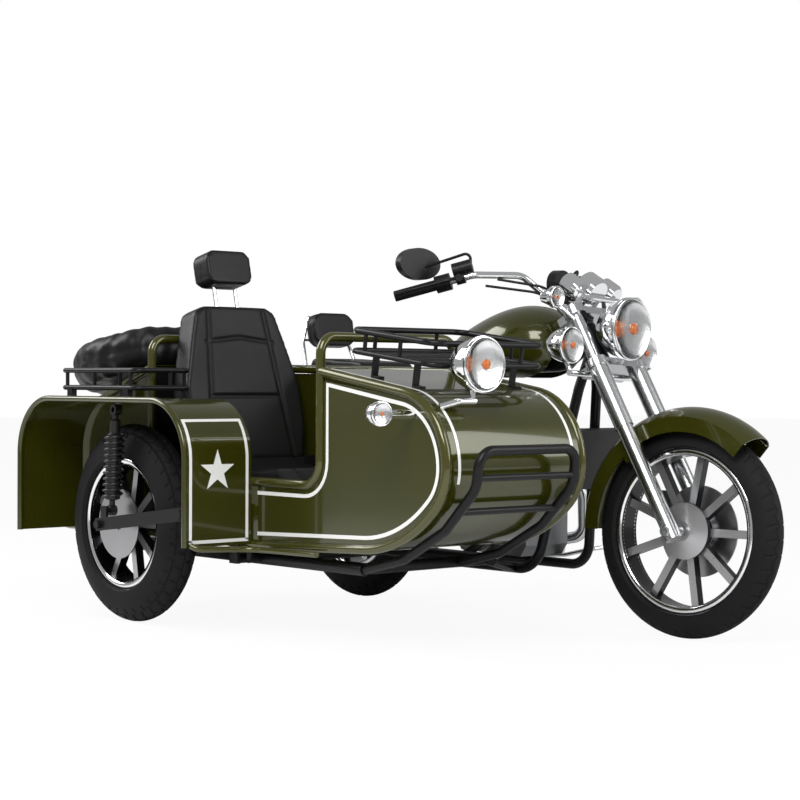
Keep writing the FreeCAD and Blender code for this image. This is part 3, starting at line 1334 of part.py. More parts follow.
spare_turn = Rotation(Vector(0, 1, 0), -size.spare_tilt)
spare_centre = Vector(-285, BODY_MIDDLE, 826)
rim_corner = 46
spare = turned("spare_wheel", [
    ("0.1", "-spare_thickness / 2"), ("spare_radius - 46", "-spare_thickness / 2", "60"), ("spare_radius", "0", "60"),
    ("spare_radius - 46", "spare_thickness / 2"), ("0.1", "spare_thickness / 2")])
spare.Placement = Placement(spare_centre, spare_turn.multiply(Rotation(Vector(1, 0, 0), 90)))
keep(spare)
spare_place = Placement(spare_centre, spare_turn)


def under_spare(along, side, down):
    """A point in the vehicle's frame from its place below the spare wheel's underside."""
    return spare_place.multVec(Vector(along, side, -size.spare_thickness / 2 - down))


def tail_skin(x, gap):
    """The height of the tail's outer skin."""
    slope = math.radians(size.tail_slope)
    return size.tail_top_z + (edge / 2 + gap) / math.cos(slope) - (size.tail_front_x - x) * math.tan(slope)


carrier_shapes = [bent_tube(rack_ring(300, 120, 12.5, lambda a, s, d: under_spare(a - 150, s, d)), 12, 40, True)]
carrier_shapes.append(bar_shape(under_spare(-150, 0, 12.5), under_spare(150, 0, 12.5), 10))
for along in (-138, 118):
    for side in (-100, 100):
        top = under_spare(along, side, 14)
        foot_z = tail_skin(top.x, 0.6)
        if foot_z < top.z - 4:
            carrier_shapes.append(bar_shape(Vector(top.x, top.y, foot_z + 3), top, 8))
            plate = Part.makeCylinder(20, 4, Vector(0, 0, 0))
            plate.Placement = Placement(Vector(top.x, top.y, foot_z), Rotation(Vector(0, 1, 0), -size.tail_slope))
            carrier_shapes.append(plate)
keep(welded("spare_carrier", carrier_shapes))

# ---------------------------------------------------------------- sidecar lamps

sidecar_lamp_place = Vector(size.nose_x + 8, -size.panel_outer + 130, 806)
sidecar_lamp = lamp("sidecar_lamp_bowl", "sidecar_lamp_radius", "104", sidecar_lamp_place, FORWARD)
bracket_shapes = [bar_shape(sidecar_lamp_place + Vector(-44, 0, -58), sidecar_lamp_place + Vector(-44, 0, -104), 7)]
bracket_top = sidecar_lamp_place + Vector(-44, 0, -100)
bracket_foot = Vector(size.nose_x - 62, -size.panel_outer + edge + 16, 690)
bracket_shapes.append(bent_tube([bracket_top + Vector(0, 8, 0), bracket_top + Vector(0, -50, 0), bracket_foot], 9, 24))
lamp_bracket = welded("sidecar_lamp_bracket", bracket_shapes)
clear_of(lamp_bracket, SUB_PARTS["nose_shell"], SUB_PARTS["body_rails"])
nose_corners = ribbon(nose_profile, "0", "(-30)")
keep(fused("sidecar_headlight", [sidecar_lamp, lamp_bracket]))

indicator_base = Vector(1292, -size.panel_outer - size.sheet / 2 - 3.2, 668)
indicator_end = Vector(1326, -size.panel_outer - 145, 672)
side_stem = rod("side_indicator_stem", indicator_base, indicator_end + Vector(-10, 20, 0), "12")
side_lamp = lamp("side_indicator_lamp", "indicator_radius", "58", indicator_end, Rotation(Vector(0, 0, 1), -96))
keep(fused("side_indicator", [side_lamp, side_stem]))

sidecar_tail = lamp("sidecar_tail_lamp", "36", "40", Vector(-size.fender_rear - 44, -size.fender_outer + 120, 560),
                    Rotation(Vector(0, 0, 1), 90))
lamp_pieces.append(sidecar_tail)
keep(group("rear_lamps", [fused("tail_lamp_unit", lamp_pieces[:3]), sidecar_tail]))

# ---------------------------------------------------------------- sidecar wheel suspension

arm_y = -size.fender_outer + 22
arm_inner_y = -size.panel_outer - edge - 22
axle_point = SIDECAR_AXLE
pivot_out = Vector(wheel_pivot.x, arm_y - 6, wheel_pivot.z)
pivot_in = Vector(wheel_pivot.x, -size.panel_outer - 32 - size.fit_gap, wheel_pivot.z)
arm_shapes = [bar_shape(pivot_out, pivot_in, 17)]
for y, half_width in ((arm_y, 4), (arm_inner_y, 4)):
    bar_profile = [Vector(-24, 0, -19), Vector(430, 0, -19), Vector(430, 0, 19), Vector(-24, 0, 19)]
    start = Vector(axle_point.x, y - half_width, axle_point.z)
    length = math.hypot(wheel_pivot.x - axle_point.x, wheel_pivot.z - axle_point.z)
    flat = Part.makeBox(length + 40, 2 * half_width, 40, Vector(-20, 0, -20))
    tilt = -math.degrees(math.atan2(wheel_pivot.z - axle_point.z, wheel_pivot.x - axle_point.x))
    flat.Placement = Placement(start, Rotation(Vector(0, 1, 0), tilt))
    arm_shapes.append(flat)
arm_shapes.append(bar_shape(Vector(axle_point.x, arm_y - 16, axle_point.z), Vector(axle_point.x, arm_inner_y + 6, axle_point.z),
                            size.axle_radius))
arm_shapes.append(bar_shape(Vector(axle_point.x, arm_y - 16, axle_point.z), Vector(axle_point.x, arm_y - 4, axle_point.z), 13))
shock_foot = Vector(axle_point.x + 24, arm_y + 28, axle_point.z + 44)
shock_head = Vector(axle_point.x + 42, arm_y + 28, size.fender_top - 42)
arm_shapes.append(block_shape(Vector(shock_foot.x - 16, arm_y - 4, axle_point.z), Vector(shock_foot.x + 16, arm_y + 4, shock_foot.z + 14)))
arm_shapes.append(bar_shape(Vector(shock_foot.x, arm_y, shock_foot.z), shock_foot + Vector(0, 10, 0), 8))
keep(welded("trailing_arm", arm_shapes))
keep(group("sidecar_shock", [shock("sidecar_shock_outer", shock_foot, shock_head, 24, 10)]))

# ---------------------------------------------------------------- seats between neighbours

SEATINGS = {
    "main_frame": ["rear_fender"],
    "fork_clamps": ["instruments", "handlebar", "control_cables", "front_lamps", "headlight"],
    "hand_controls": ["mirrors", "handlebar"],
    "foot_controls": ["main_frame"],
    "exhaust": ["engine_cylinders", "engine_case", "rear_shocks", "foot_controls"],
    "backrest_frame": ["main_frame", "rider_seat", "backrest_pad"],
    "rear_fender": ["rear_lamps"],
    "body_rails": ["outer_panel", "inner_panel"],
    "sidecar_frame": ["main_frame"],
    "nose_guard": ["sidecar_frame", "body_rails"],
    "deck_rack": ["sidecar_headlight"],
    "step_bar": ["sidecar_fender"],
    "seat_frame": ["seat_cushion", "seat_back", "cockpit_floor"],
    "seat_belt_buckles": ["seat_cushion"],
    "trailing_arm": ["sidecar_shock"],
    "spare_carrier": ["spare_wheel", "tail_shell"],
}
for label, neighbours in SEATINGS.items():
    clear_of(SUB_PARTS[label], *[SUB_PARTS[neighbour] for neighbour in neighbours])

# ---------------------------------------------------------------- placing and writing

steer_turn = Placement(Vector(0, 0, 0), Rotation(STEER_AXIS, size.steer_rest), STEER_FOOT)
doc.recompute()
for piece in STEERED + FRONT_WHEEL:
    piece.Placement = steer_turn.multiply(piece.Placement)
doc.recompute()
whole = FreeCAD.BoundBox()
for piece in SUB_PARTS.values():
    whole.add(piece.Shape.optimalBoundingBox(False, False))
stand = Placement(Vector(-(whole.XMin + whole.XMax) / 2, -(whole.YMin + whole.YMax) / 2, -whole.ZMin), Rotation())
for piece in SUB_PARTS.values():
    piece.Placement = stand.multiply(piece.Placement)
doc.recompute()

os.makedirs("parts", exist_ok=True)
faults = [thing.Label for thing in doc.Objects if "Invalid" in thing.State or "Error" in thing.State]
for label, piece in SUB_PARTS.items():
    if piece.Shape.isNull() or not piece.Shape.isValid() or not piece.Shape.Solids:
        faults.append(label + " shape")
if faults:
    raise RuntimeError("not built: %s" % faults)
for label, piece in SUB_PARTS.items():
    piece.Shape.exportStep("parts/%s.step" % label)
print("joint front_spin", stand.multVec(steer_turn.multVec(FRONT_AXLE)), steer_turn.Rotation.multVec(Vector(0, 1, 0)))
print("joint steering", stand.multVec(STEER_FOOT), STEER_AXIS)
print("joint rear_spin", stand.multVec(REAR_AXLE))
print("joint sidecar_spin", stand.multVec(SIDECAR_AXLE))
print("box", whole.XLength, whole.YLength, whole.ZLength)
print("shift", stand.Base)
print("sub-parts", len(SUB_PARTS))
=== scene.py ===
import bpy
import bmesh
import json
import math
from mathutils import Matrix, Vector, noise

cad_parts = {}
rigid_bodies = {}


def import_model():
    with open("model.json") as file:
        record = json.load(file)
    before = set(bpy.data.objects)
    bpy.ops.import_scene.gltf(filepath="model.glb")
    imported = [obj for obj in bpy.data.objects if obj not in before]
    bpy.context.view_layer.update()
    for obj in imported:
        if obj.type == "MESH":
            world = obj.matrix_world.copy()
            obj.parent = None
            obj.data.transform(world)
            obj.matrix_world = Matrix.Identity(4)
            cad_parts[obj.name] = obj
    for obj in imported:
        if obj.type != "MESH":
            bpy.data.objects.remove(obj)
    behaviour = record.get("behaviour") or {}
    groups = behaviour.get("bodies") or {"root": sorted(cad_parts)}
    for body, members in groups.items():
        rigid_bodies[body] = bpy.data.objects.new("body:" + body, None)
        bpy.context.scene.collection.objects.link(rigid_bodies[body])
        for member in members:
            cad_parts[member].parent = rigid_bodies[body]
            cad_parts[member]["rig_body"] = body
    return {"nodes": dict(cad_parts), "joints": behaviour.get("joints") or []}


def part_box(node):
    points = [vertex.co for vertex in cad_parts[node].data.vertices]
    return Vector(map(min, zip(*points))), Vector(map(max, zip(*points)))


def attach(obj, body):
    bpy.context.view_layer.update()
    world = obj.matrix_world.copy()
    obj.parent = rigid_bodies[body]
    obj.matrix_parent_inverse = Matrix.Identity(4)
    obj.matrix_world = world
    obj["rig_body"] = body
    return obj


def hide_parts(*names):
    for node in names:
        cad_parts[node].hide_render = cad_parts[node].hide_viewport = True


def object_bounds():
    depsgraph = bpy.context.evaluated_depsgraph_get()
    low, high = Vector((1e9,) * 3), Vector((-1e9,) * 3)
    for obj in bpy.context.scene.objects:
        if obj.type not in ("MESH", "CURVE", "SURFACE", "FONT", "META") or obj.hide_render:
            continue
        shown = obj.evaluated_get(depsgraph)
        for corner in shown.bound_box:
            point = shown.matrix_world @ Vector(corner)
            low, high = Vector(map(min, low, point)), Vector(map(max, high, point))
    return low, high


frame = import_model()
low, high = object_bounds()
nodes = frame["nodes"]
joints = {joint["name"]: joint for joint in frame["joints"]}
rear_axle = Vector(joints["rear_spin"]["pos_m"])
side_axle = Vector(joints["sidecar_spin"]["pos_m"])
front_axle = Vector(joints["front_spin"]["pos_m"])
front_spin = Vector(joints["front_spin"]["axis"]).normalized()
left = Vector((0, 1, 0))


def place(x, y, z):
    """A point given from the ground under the rear axle, in metres."""
    return Vector((rear_axle.x + x, rear_axle.y + y, z))


# Painted steel tubes and plates of the frames, racks and guards.
# Satin black paint with a little orange peel, duller where dust settles.
def finish(name, colour, metallic=0.0, roughness=0.4, grain=900.0, relief=0.05, mottle=0.12, coat=0.0,
           axis=None, edge_colour=None, shine=0.5):
    """A surface with colour drift, roughness drift and fine relief; faces square to axis may be machined."""
    material = bpy.data.materials.new(name)
    material.use_nodes = True
    tree = material.node_tree
    shader = tree.nodes["Principled BSDF"]
    coords = tree.nodes.new("ShaderNodeTexCoord")
    broad = tree.nodes.new("ShaderNodeTexNoise")
    broad.inputs["Scale"].default_value = 6.0
    broad.inputs["Detail"].default_value = 5.0
    fine = tree.nodes.new("ShaderNodeTexNoise")
    fine.inputs["Scale"].default_value = grain
    fine.inputs["Detail"].default_value = 3.0
    tree.links.new(coords.outputs["Object"], broad.inputs["Vector"])
    tree.links.new(coords.outputs["Object"], fine.inputs["Vector"])
    tint = tree.nodes.new("ShaderNodeMix")
    tint.data_type = "RGBA"
    tint.inputs["A"].default_value = (*colour, 1.0)
    tint.inputs["B"].default_value = (*[channel * (1.0 - mottle) for channel in colour], 1.0)
    tree.links.new(broad.outputs["Fac"], tint.inputs["Factor"])
    result = tint.outputs["Result"]
    if axis:
        facing = tree.nodes.new("ShaderNodeVectorMath")
        facing.operation = "DOT_PRODUCT"
        facing.inputs[1].default_value = axis
        tree.links.new(coords.outputs["Normal"], facing.inputs[0])
        size = tree.nodes.new("ShaderNodeMath")
        size.operation = "ABSOLUTE"
        tree.links.new(facing.outputs["Value"], size.inputs[0])
        step = tree.nodes.new("ShaderNodeMapRange")
        step.inputs["From Min"].default_value = 0.80
        step.inputs["From Max"].default_value = 0.86
        tree.links.new(size.outputs["Value"], step.inputs["Value"])
        choose = tree.nodes.new("ShaderNodeMix")
        choose.data_type = "RGBA"
        choose.inputs["A"].default_value = (*edge_colour, 1.0)
        tree.links.new(result, choose.inputs["B"])
        tree.links.new(step.outputs["Result"], choose.inputs["Factor"])
        result = choose.outputs["Result"]
    tree.links.new(result, shader.inputs["Base Color"])
    drift = tree.nodes.new("ShaderNodeMapRange")
    drift.inputs["To Min"].default_value = max(roughness * 0.8, 0.02)
    drift.inputs["To Max"].default_value = min(roughness * 1.25, 1.0)
    tree.links.new(broad.outputs["Fac"], drift.inputs["Value"])
    tree.links.new(drift.outputs["Result"], shader.inputs["Roughness"])
    bump = tree.nodes.new("ShaderNodeBump")
    bump.inputs["Strength"].default_value = relief
    bump.inputs["Distance"].default_value = 0.0006
    tree.links.new(fine.outputs["Fac"], bump.inputs["Height"])
    tree.links.new(bump.outputs["Normal"], shader.inputs["Normal"])
    shader.inputs["Metallic"].default_value = metallic
    shader.inputs["Specular IOR Level"].default_value = shine
    shader.inputs["Coat Weight"].default_value = coat
    shader.inputs["Coat Roughness"].default_value = 0.05
    return material


def dress(material, *names):
    """Gives CAD nodes their finish."""
    for name in names:
        nodes[name].data.materials.clear()
        nodes[name].data.materials.append(material)


def piece(name, mesh, material, body):
    """Puts a finished bmesh in the scene as a piece that moves with a body."""
    data = bpy.data.meshes.new(name)
    mesh.to_mesh(data)
    mesh.free()
    data.materials.append(material)
    thing = bpy.data.objects.new(name, data)
    bpy.context.scene.collection.objects.link(thing)
    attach(thing, body)
    return thing


dress(finish("satin_black_paint", (0.007, 0.007, 0.008), 0.0, 0.32, 700.0, 0.06, 0.3, 0.0, shine=0.22),
      "main_frame", "sidecar_frame", "swingarm", "trailing_arm", "seat_frame", "chain_case", "cockpit_floor",
      "deck_rack", "fender_rack", "nose_guard", "spare_carrier")

# Engine, fork and wheels: cast and machined alloy.
# The wheels' faces are machined bright and the pockets between them are painted dark.
alloy = finish("cast_alloy", (0.20, 0.205, 0.21), 0.9, 0.34, 500.0, 0.12, 0.2)
dress(alloy, "engine_case", "engine_cylinders", "front_caliper")
dress(finish("fork_silver", (0.60, 0.61, 0.62), 1.0, 0.24, 800.0, 0.05, 0.1), "fork_sliders", "fork_clamps")
dark = (0.012, 0.012, 0.013)
bright = (0.46, 0.46, 0.47)
front_alloy = finish("front_wheel_alloy", bright, 0.8, 0.28, 900.0, 0.06, 0.15, 0.2, tuple(front_spin), dark)
dress(front_alloy, "front_rim")
side_alloy = finish("side_wheel_alloy", bright, 0.8, 0.28, 900.0, 0.06, 0.15, 0.2, (0, 1, 0), dark)
dress(side_alloy, "rear_rim", "sidecar_rim")
dress(finish("ground_steel", (0.42, 0.42, 0.43), 1.0, 0.3, 1200.0, 0.1, 0.2), "front_disc", "sidecar_disc")
dress(finish("radiator_core", (0.012, 0.012, 0.012), 0.2, 0.5, 260.0, 0.8, 0.3), "radiator")


def lathed(name, centre, axis, profile, steps, material, body, shape=None):
    """A piece turned about an axis from points of (radius, along the axis)."""
    mesh = bmesh.new()
    verts = [mesh.verts.new((radius, along, 0)) for radius, along in profile]
    edges = [mesh.edges.new(pair) for pair in zip(verts, verts[1:])]
    bmesh.ops.spin(mesh, geom=verts + edges, cent=(0, 0, 0), axis=(0, 1, 0), angle=2 * math.pi, steps=steps,
                   use_merge=True)
    bmesh.ops.remove_doubles(mesh, verts=mesh.verts, dist=0.00002)
    if shape:
        for vert in mesh.verts:
            shape(vert)
    bmesh.ops.recalc_face_normals(mesh, faces=mesh.faces)
    turn = left.rotation_difference(Vector(axis)).to_matrix().to_4x4()
    bmesh.ops.transform(mesh, matrix=Matrix.Translation(centre) @ turn, verts=mesh.verts)
    for face in mesh.faces:
        face.smooth = True
    return piece(name, mesh, material, body)


lip = finish("polished_lip", (0.80, 0.80, 0.81), 1.0, 0.10, 300.0, 0.01, 0.05)
for name, centre, axis, radius, half, body in (
        ("front", front_axle, front_spin, 0.248, 0.037, "front_wheel"),
        ("rear", rear_axle, left, 0.208, 0.048, "rear_wheel"),
        ("sidecar", side_axle, left, 0.209, 0.046, "sidecar_wheel")):
    for side, end in ((-1, "outer"), (1, "inner")):
        rim_face = side * (half + 0.0008)
        lathed(name + "_lip_" + end, centre, axis, [
            (radius - 0.024, side * (half - 0.010)), (radius - 0.0238, rim_face),
            (radius - 0.012, rim_face + side * 0.0012), (radius - 0.001, rim_face),
            (radius - 0.001, side * (half - 0.001))], 128, lip, body)

# Tyres, moulded with their treads: zigzag grooves at the front, staggered blocks at the rear and the sidecar.
# Black rubber, matt and a little uneven, with the grooves pressed into the crown.
tread_rubber = finish("tread_rubber", (0.010, 0.010, 0.011), 0.0, 0.62, 420.0, 0.3, 0.3, shine=0.14)
for name, centre, axis, outer, width, rim_radius, rim_half, count, blocky, body in (
        ("front_tyre", front_axle, front_spin, 0.3185, 0.098, 0.248, 0.037, 44, False, "front_wheel"),
        ("rear_tyre", rear_axle, left, 0.305, 0.124, 0.208, 0.048, 40, True, "rear_wheel"),
        ("sidecar_tyre", side_axle, left, 0.311, 0.120, 0.209, 0.046, 38, True, "sidecar_wheel")):
    half = width / 2
    bead = rim_half - 0.0065
    points = []
    rows = 72
    for row in range(rows + 1):
        lean = math.pi * (row / rows) * 0.86 + math.pi * 0.07
        along = -math.cos(lean) * half / math.cos(math.pi * 0.07) * 0.999
        share = abs(math.sin(lean)) ** (0.62 if blocky else 0.8)
        low_share = abs(math.sin(math.pi * 0.07)) ** (0.62 if blocky else 0.8)
        reach = (share - low_share) / (1 - low_share)
        radius = rim_radius + 0.002 + (outer - 0.0006 - rim_radius - 0.002) * reach
        points.append((radius, along))
    points = [(rim_radius - 0.010, -bead), (rim_radius + 0.001, -bead)] + points + [
        (rim_radius + 0.001, bead), (rim_radius - 0.010, bead)]
    depth = 0.0058 if blocky else 0.0042

    def groove(vert):
        """Presses the tread's grooves into the crown."""
        radius = math.hypot(vert.co.x, vert.co.z)
        if radius < rim_radius + 0.62 * (outer - rim_radius):
            return
        turn = (math.atan2(vert.co.z, vert.co.x) / (2 * math.pi)) * count
        across = vert.co.y / half
        if blocky:
            lane = math.floor((across + 1.0) * 2.5)
            in_lane = (across + 1.0) * 2.5 - lane
            shift = 0.5 * (lane % 2) + 0.16 * math.sin(in_lane * math.pi)
            along = (turn + shift) % 1.0
            deep = along < 0.17 or in_lane < 0.13 or in_lane > 0.87
        else:
            along = (turn + 0.55 * abs(across)) % 1.0
            zigzag = abs(across) - 0.34 - 0.08 * math.sin(turn * 2 * math.pi)
            deep = (along < 0.11 and abs(across) > 0.30) or abs(zigzag) < 0.035
        if deep:
            scale = (radius - depth) / radius
            vert.co.x *= scale
            vert.co.z *= scale

    tyre = lathed(name + "_treaded", centre, axis, points, 640, tread_rubber, body, groove)
    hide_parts(name)

# Bright plated pieces: exhaust, bars, lamp shells, gauge cups, shocks and stays.
# Mirror chrome with almost no grain; the sidecar's shock absorber is painted black.
chrome = finish("chrome_plate", (0.86, 0.87, 0.88), 1.0, 0.06, 300.0, 0.01, 0.04)
dress(chrome, "exhaust", "handlebar", "headlight", "front_lamps", "instruments", "backrest_frame", "headrest_posts",
      "rear_shocks", "foot_controls", "sidecar_headlight", "side_indicator")
dress(finish("shock_black", (0.014, 0.014, 0.014), 0.3, 0.35, 500.0, 0.1, 0.2), "sidecar_shock")

# Springs round the shock absorbers, each coiled from one round wire.
# Black at the sidecar wheel and chromed at the rear wheel.
spring_black = finish("spring_black", (0.012, 0.012, 0.012), 0.2, 0.3, 400.0, 0.1, 0.2)
for name, foot, head, radius, wire, material, slot in (
        ("sidecar_spring", place(0.124, -1.130, 0.355), place(0.142, -1.130, 0.667),
         0.0285, 0.0042, spring_black, "frame_black"),
        ("rear_spring_right", place(0.036, -0.146, 0.307), place(0.070, -0.146, 0.668),
         0.0292, 0.004, chrome, "bright_chrome"),
        ("rear_spring_left", place(0.036, 0.146, 0.307), place(0.070, 0.146, 0.668),
         0.0292, 0.004, chrome, "bright_chrome")):
    curve = bpy.data.curves.new(name + "_path", "CURVE")
    curve.dimensions = "3D"
    curve.bevel_depth = wire
    curve.bevel_resolution = 3
    coils, parts = 11, 18
    line = curve.splines.new("POLY")
    line.points.add(coils * parts)
    run = head - foot
    square = run.to_track_quat("Z", "X").to_matrix()
    for index, point in enumerate(line.points):
        angle = index / parts * 2 * math.pi
        share = 0.13 + 0.64 * index / (coils * parts)
        spot = foot + run * share + square @ Vector((math.cos(angle), math.sin(angle), 0)) * radius
        point.co = (*spot, 1)
    holder = bpy.data.objects.new(name + "_path", curve)
    bpy.context.scene.collection.objects.link(holder)
    mesh = bmesh.new()
    data = bpy.data.meshes.new_from_object(holder)
    mesh.from_mesh(data)
    bpy.data.objects.remove(holder)
    coil = piece(name, mesh, material, "chassis")
    for polygon in coil.data.polygons:
        polygon.use_smooth = True

# Lamps: a fluted silver reflector, an amber bulb and a clear domed lens in each bright bowl.
# The front lamps turn with the steering, the sidecar's ride with its body.
reflector = finish("lamp_reflector", (0.88, 0.89, 0.90), 1.0, 0.16, 120.0, 0.5, 0.06)
amber = finish("amber_bulb", (0.95, 0.22, 0.02), 0.0, 0.18, 300.0, 0.05, 0.1, 0.6)
glass = bpy.data.materials.new("clear_lens")
glass.use_nodes = True
glass_shader = glass.node_tree.nodes["Principled BSDF"]
glass_shader.inputs["Transmission Weight"].default_value = 1.0
glass_shader.inputs["Roughness"].default_value = 0.03
glass_shader.inputs["IOR"].default_value = 1.3
flutes = glass.node_tree.nodes.new("ShaderNodeTexWave")
flutes.inputs["Scale"].default_value = 60.0
flute_place = glass.node_tree.nodes.new("ShaderNodeTexCoord")
flute_bump = glass.node_tree.nodes.new("ShaderNodeBump")
flute_bump.inputs["Strength"].default_value = 0.12
flute_bump.inputs["Distance"].default_value = 0.001
glass.node_tree.links.new(flute_place.outputs["Object"], flutes.inputs["Vector"])
glass.node_tree.links.new(flutes.outputs["Fac"], flute_bump.inputs["Height"])
glass.node_tree.links.new(flute_bump.outputs["Normal"], glass_shader.inputs["Normal"])
steering = joints["steering"]
pivot = Vector(steering["pos_m"])
turned = Matrix.Rotation(math.radians(6), 4, Vector(steering["axis"]))
lock = Matrix.Translation(pivot) @ turned @ Matrix.Translation(-pivot)
rake = math.radians(31)
head_x = pivot.x - rear_axle.x + 0.145 * math.cos(rake) - 0.645 * math.sin(rake)
head_z = pivot.z + 0.145 * math.sin(rake) + 0.645 * math.cos(rake)
spot_x, spot_z = head_x - 0.082, head_z - 0.062
for name, x, y, z, radius, steered, ahead in (
        ("headlight", head_x, 0.0, head_z, 0.090, True, 0.0),
        ("spot_right", spot_x, -0.188, spot_z, 0.051, True, 0.0),
        ("spot_left", spot_x, 0.188, spot_z, 0.051, True, 0.0),
        ("indicator_right", spot_x - 0.052, -0.202, spot_z + 0.146, 0.028, True, 0.0),
        ("indicator_left", spot_x - 0.052, 0.202, spot_z + 0.146, 0.028, True, 0.0),
        ("sidecar_lamp", 1.435, -0.795, 0.806, 0.071, False, 0.0),
        ("side_indicator", 1.326, -1.070, 0.672, 0.028, False, -6.0)):
    body = "steering" if steered else "chassis"
    spot = place(x, y, z)
    facing = Vector((math.cos(math.radians(ahead)), math.sin(math.radians(ahead)), 0))
    if steered:
        spot = lock @ spot
        facing = (lock.to_3x3() @ facing).normalized()
    lathed(name + "_reflector", spot + facing * 0.0034, facing, [
        (radius, 0.0010), (radius * 0.8, 0.0006), (radius * 0.5, 0.0002), (0.0005, 0.0002)], 64, reflector, body)
    lathed(name + "_bulb", spot + facing * 0.004, facing, [
        (radius * 0.20, 0.0), (radius * 0.19, radius * 0.06), (radius * 0.10, radius * 0.12),
        (0.0004, radius * 0.13)], 32, amber, body)
    crown = radius * 0.22
    lathed(name + "_lens", spot + facing * 0.0034, facing, [
        (radius + 0.001, 0.0), (radius + 0.0008, 0.003), (radius * 0.86, crown * 0.55),
        (radius * 0.6, crown * 0.85), (radius * 0.3, crown * 0.97), (0.0005, crown)], 64, glass, body)
    lathed(name + "_bezel", spot + facing * 0.002, facing, [
        (radius - 0.001, 0.0), (radius + 0.001, 0.0042), (radius + 0.004, 0.0048), (radius + 0.006, 0.002)],
        64, chrome, body)

# Olive bodywork: panels, nose, tail, fenders and tank, in deep gloss paint with a fine metallic fleck.
# The tubes that edge the body are a touch lighter.
olive = finish("olive_paint", (0.043, 0.045, 0.003), 0.30, 0.20, 2400.0, 0.03, 0.2, 0.7, shine=0.3)
dress(olive, "outer_panel", "inner_panel", "nose_shell", "tail_shell", "sidecar_fender", "fuel_tank", "front_fender",
      "rear_fender", "side_covers")
dress(finish("olive_rails", (0.060, 0.060, 0.006), 0.3, 0.2, 2000.0, 0.03, 0.2, 0.7, shine=0.35),
      "body_rails", "step_bar")

# White pinstripes, 7 to 11 mm wide, and the plain five-pointed star on the sidecar's fender.
# All are painted film just proud of the olive.
white = finish("stripe_white", (0.80, 0.80, 0.78), 0.0, 0.3, 900.0, 0.03, 0.06, 0.5)


def paint_film(thing):
    """Gives a flat painted shape the thickness of its paint."""
    film = thing.modifiers.new("film", "SOLIDIFY")
    film.thickness = 0.0006
    film.offset = 0


def stripe(name, path, across, width, body="chassis"):
    """A painted line along a path; across is the direction of its width at each point."""
    mesh = bmesh.new()
    rows = []
    for point, side in zip(path, across):
        offset = side * width / 2
        rows.append((mesh.verts.new(point - offset), mesh.verts.new(point + offset)))
    for first, second in zip(rows, rows[1:]):
        mesh.faces.new((first[0], first[1], second[1], second[0]))
    paint_film(piece(name, mesh, white, body))


def nose_line(inset):
    """Points (x, z) and their outward directions round the nose, from the cowl to the floor."""
    deck = math.radians(9)
    out = []
    top = (1.219 + (0.208 - inset) * math.sin(deck), 0.525 + (0.208 - inset) * math.cos(deck))
    for step in range(9):
        x = 0.893 + (top[0] - 0.893) * step / 8
        out.append((x, top[1] + (top[0] - x) * math.tan(deck), math.sin(deck), math.cos(deck)))

    def arc(centre_x, centre_z, radius, angles):
        """Adds points round one bend of the nose."""
        for angle in angles:
            out.append((centre_x + (radius - inset) * math.cos(angle),
                        centre_z + (radius - inset) * math.sin(angle), math.cos(angle), math.sin(angle)))

    arc(1.219, 0.525, 0.208, [(math.pi / 2 - deck) * (1 - step / 24) for step in range(1, 25)])
    arc(1.269, 0.525, 0.158, [-math.pi / 4 * step / 12 for step in range(1, 13)])
    arc(1.0724, 0.7216, 0.436, [-math.pi / 4 - (math.pi / 4 - math.radians(2.5)) * step / 16
                                for step in range(1, 17)])
    return out


side_y = -0.925 - 0.0018
inset = 0.033
border = nose_line(inset)
loop = [place(x, side_y, 0.457 - inset) for x in (0.60, 0.70, 0.823)]
ways = [Vector((0, 0, 1))] * 3
for step in range(1, 9):
    angle = -math.pi / 2 + math.pi / 2 * step / 8
    loop.append(place(0.823 + (0.070 + inset) * math.cos(angle), side_y,
                      0.527 + (0.070 + inset) * math.sin(angle)))
    ways.append(Vector((-math.cos(angle), 0, -math.sin(angle))))
start = [row for row in border if row[0] > 0.893 + inset + 0.004]
corner_z = start[0][1] + (start[0][0] - 0.893 - inset) * math.tan(math.radians(9))
loop.append(place(0.893 + inset, side_y, corner_z))
ways.append(Vector((-1, 0, 1)).normalized() * 1.3)
for x, z, away_x, away_z in start:
    loop.append(place(x, side_y, z))
    ways.append(Vector((away_x, 0, away_z)))
loop.append(place(0.60, side_y, 0.269 + inset))
ways.append(Vector((0, 0, -1)))
stripe("side_stripe", loop, ways, 0.011)
for name, y in (("right", -0.884), ("left", -0.441)):
    line = [row for row in nose_line(-0.0076) if row[1] > 0.475]
    stripe("nose_stripe_" + name, [place(row[0], y, row[1]) for row in line], [left] * len(line), 0.010)

front_x = 0.582 + 0.0055
bend_x, bend_z, bend_r = 0.407, 0.5245, 0.1805
bend = math.radians(40)
column = [(front_x, 0.285), (front_x, 0.40), (front_x, bend_z)]
for step in range(1, 10):
    angle = bend * step / 9
    column.append((bend_x + bend_r * math.cos(angle), bend_z + bend_r * math.sin(angle)))
for name, y in (("outer", -1.163), ("inner", -0.957)):
    stripe("fender_stripe_" + name, [place(x, y, z) for x, z in column], [left] * len(column), 0.010)
for name, (x, z), up in (("foot", column[0], Vector((0, 0, 1))),
                         ("head", column[-1], Vector((-math.sin(bend), 0, math.cos(bend))))):
    stripe("fender_stripe_" + name, [place(x, -1.168, z), place(x, -0.952, z)], [up] * 2, 0.010)
star_y, star_z, star_point, star_notch = -1.066, 0.492, 0.064, 0.0245
mesh = bmesh.new()
tips = []
for index in range(10):
    angle = math.pi / 2 + index * math.pi / 5
    reach = star_point if index % 2 == 0 else star_notch
    tips.append(mesh.verts.new(place(front_x, star_y + reach * math.cos(angle), star_z + reach * math.sin(angle))))
middle = mesh.verts.new(place(front_x, star_y, star_z))
for index in range(10):
    mesh.faces.new((middle, tips[index], tips[(index + 1) % 10]))
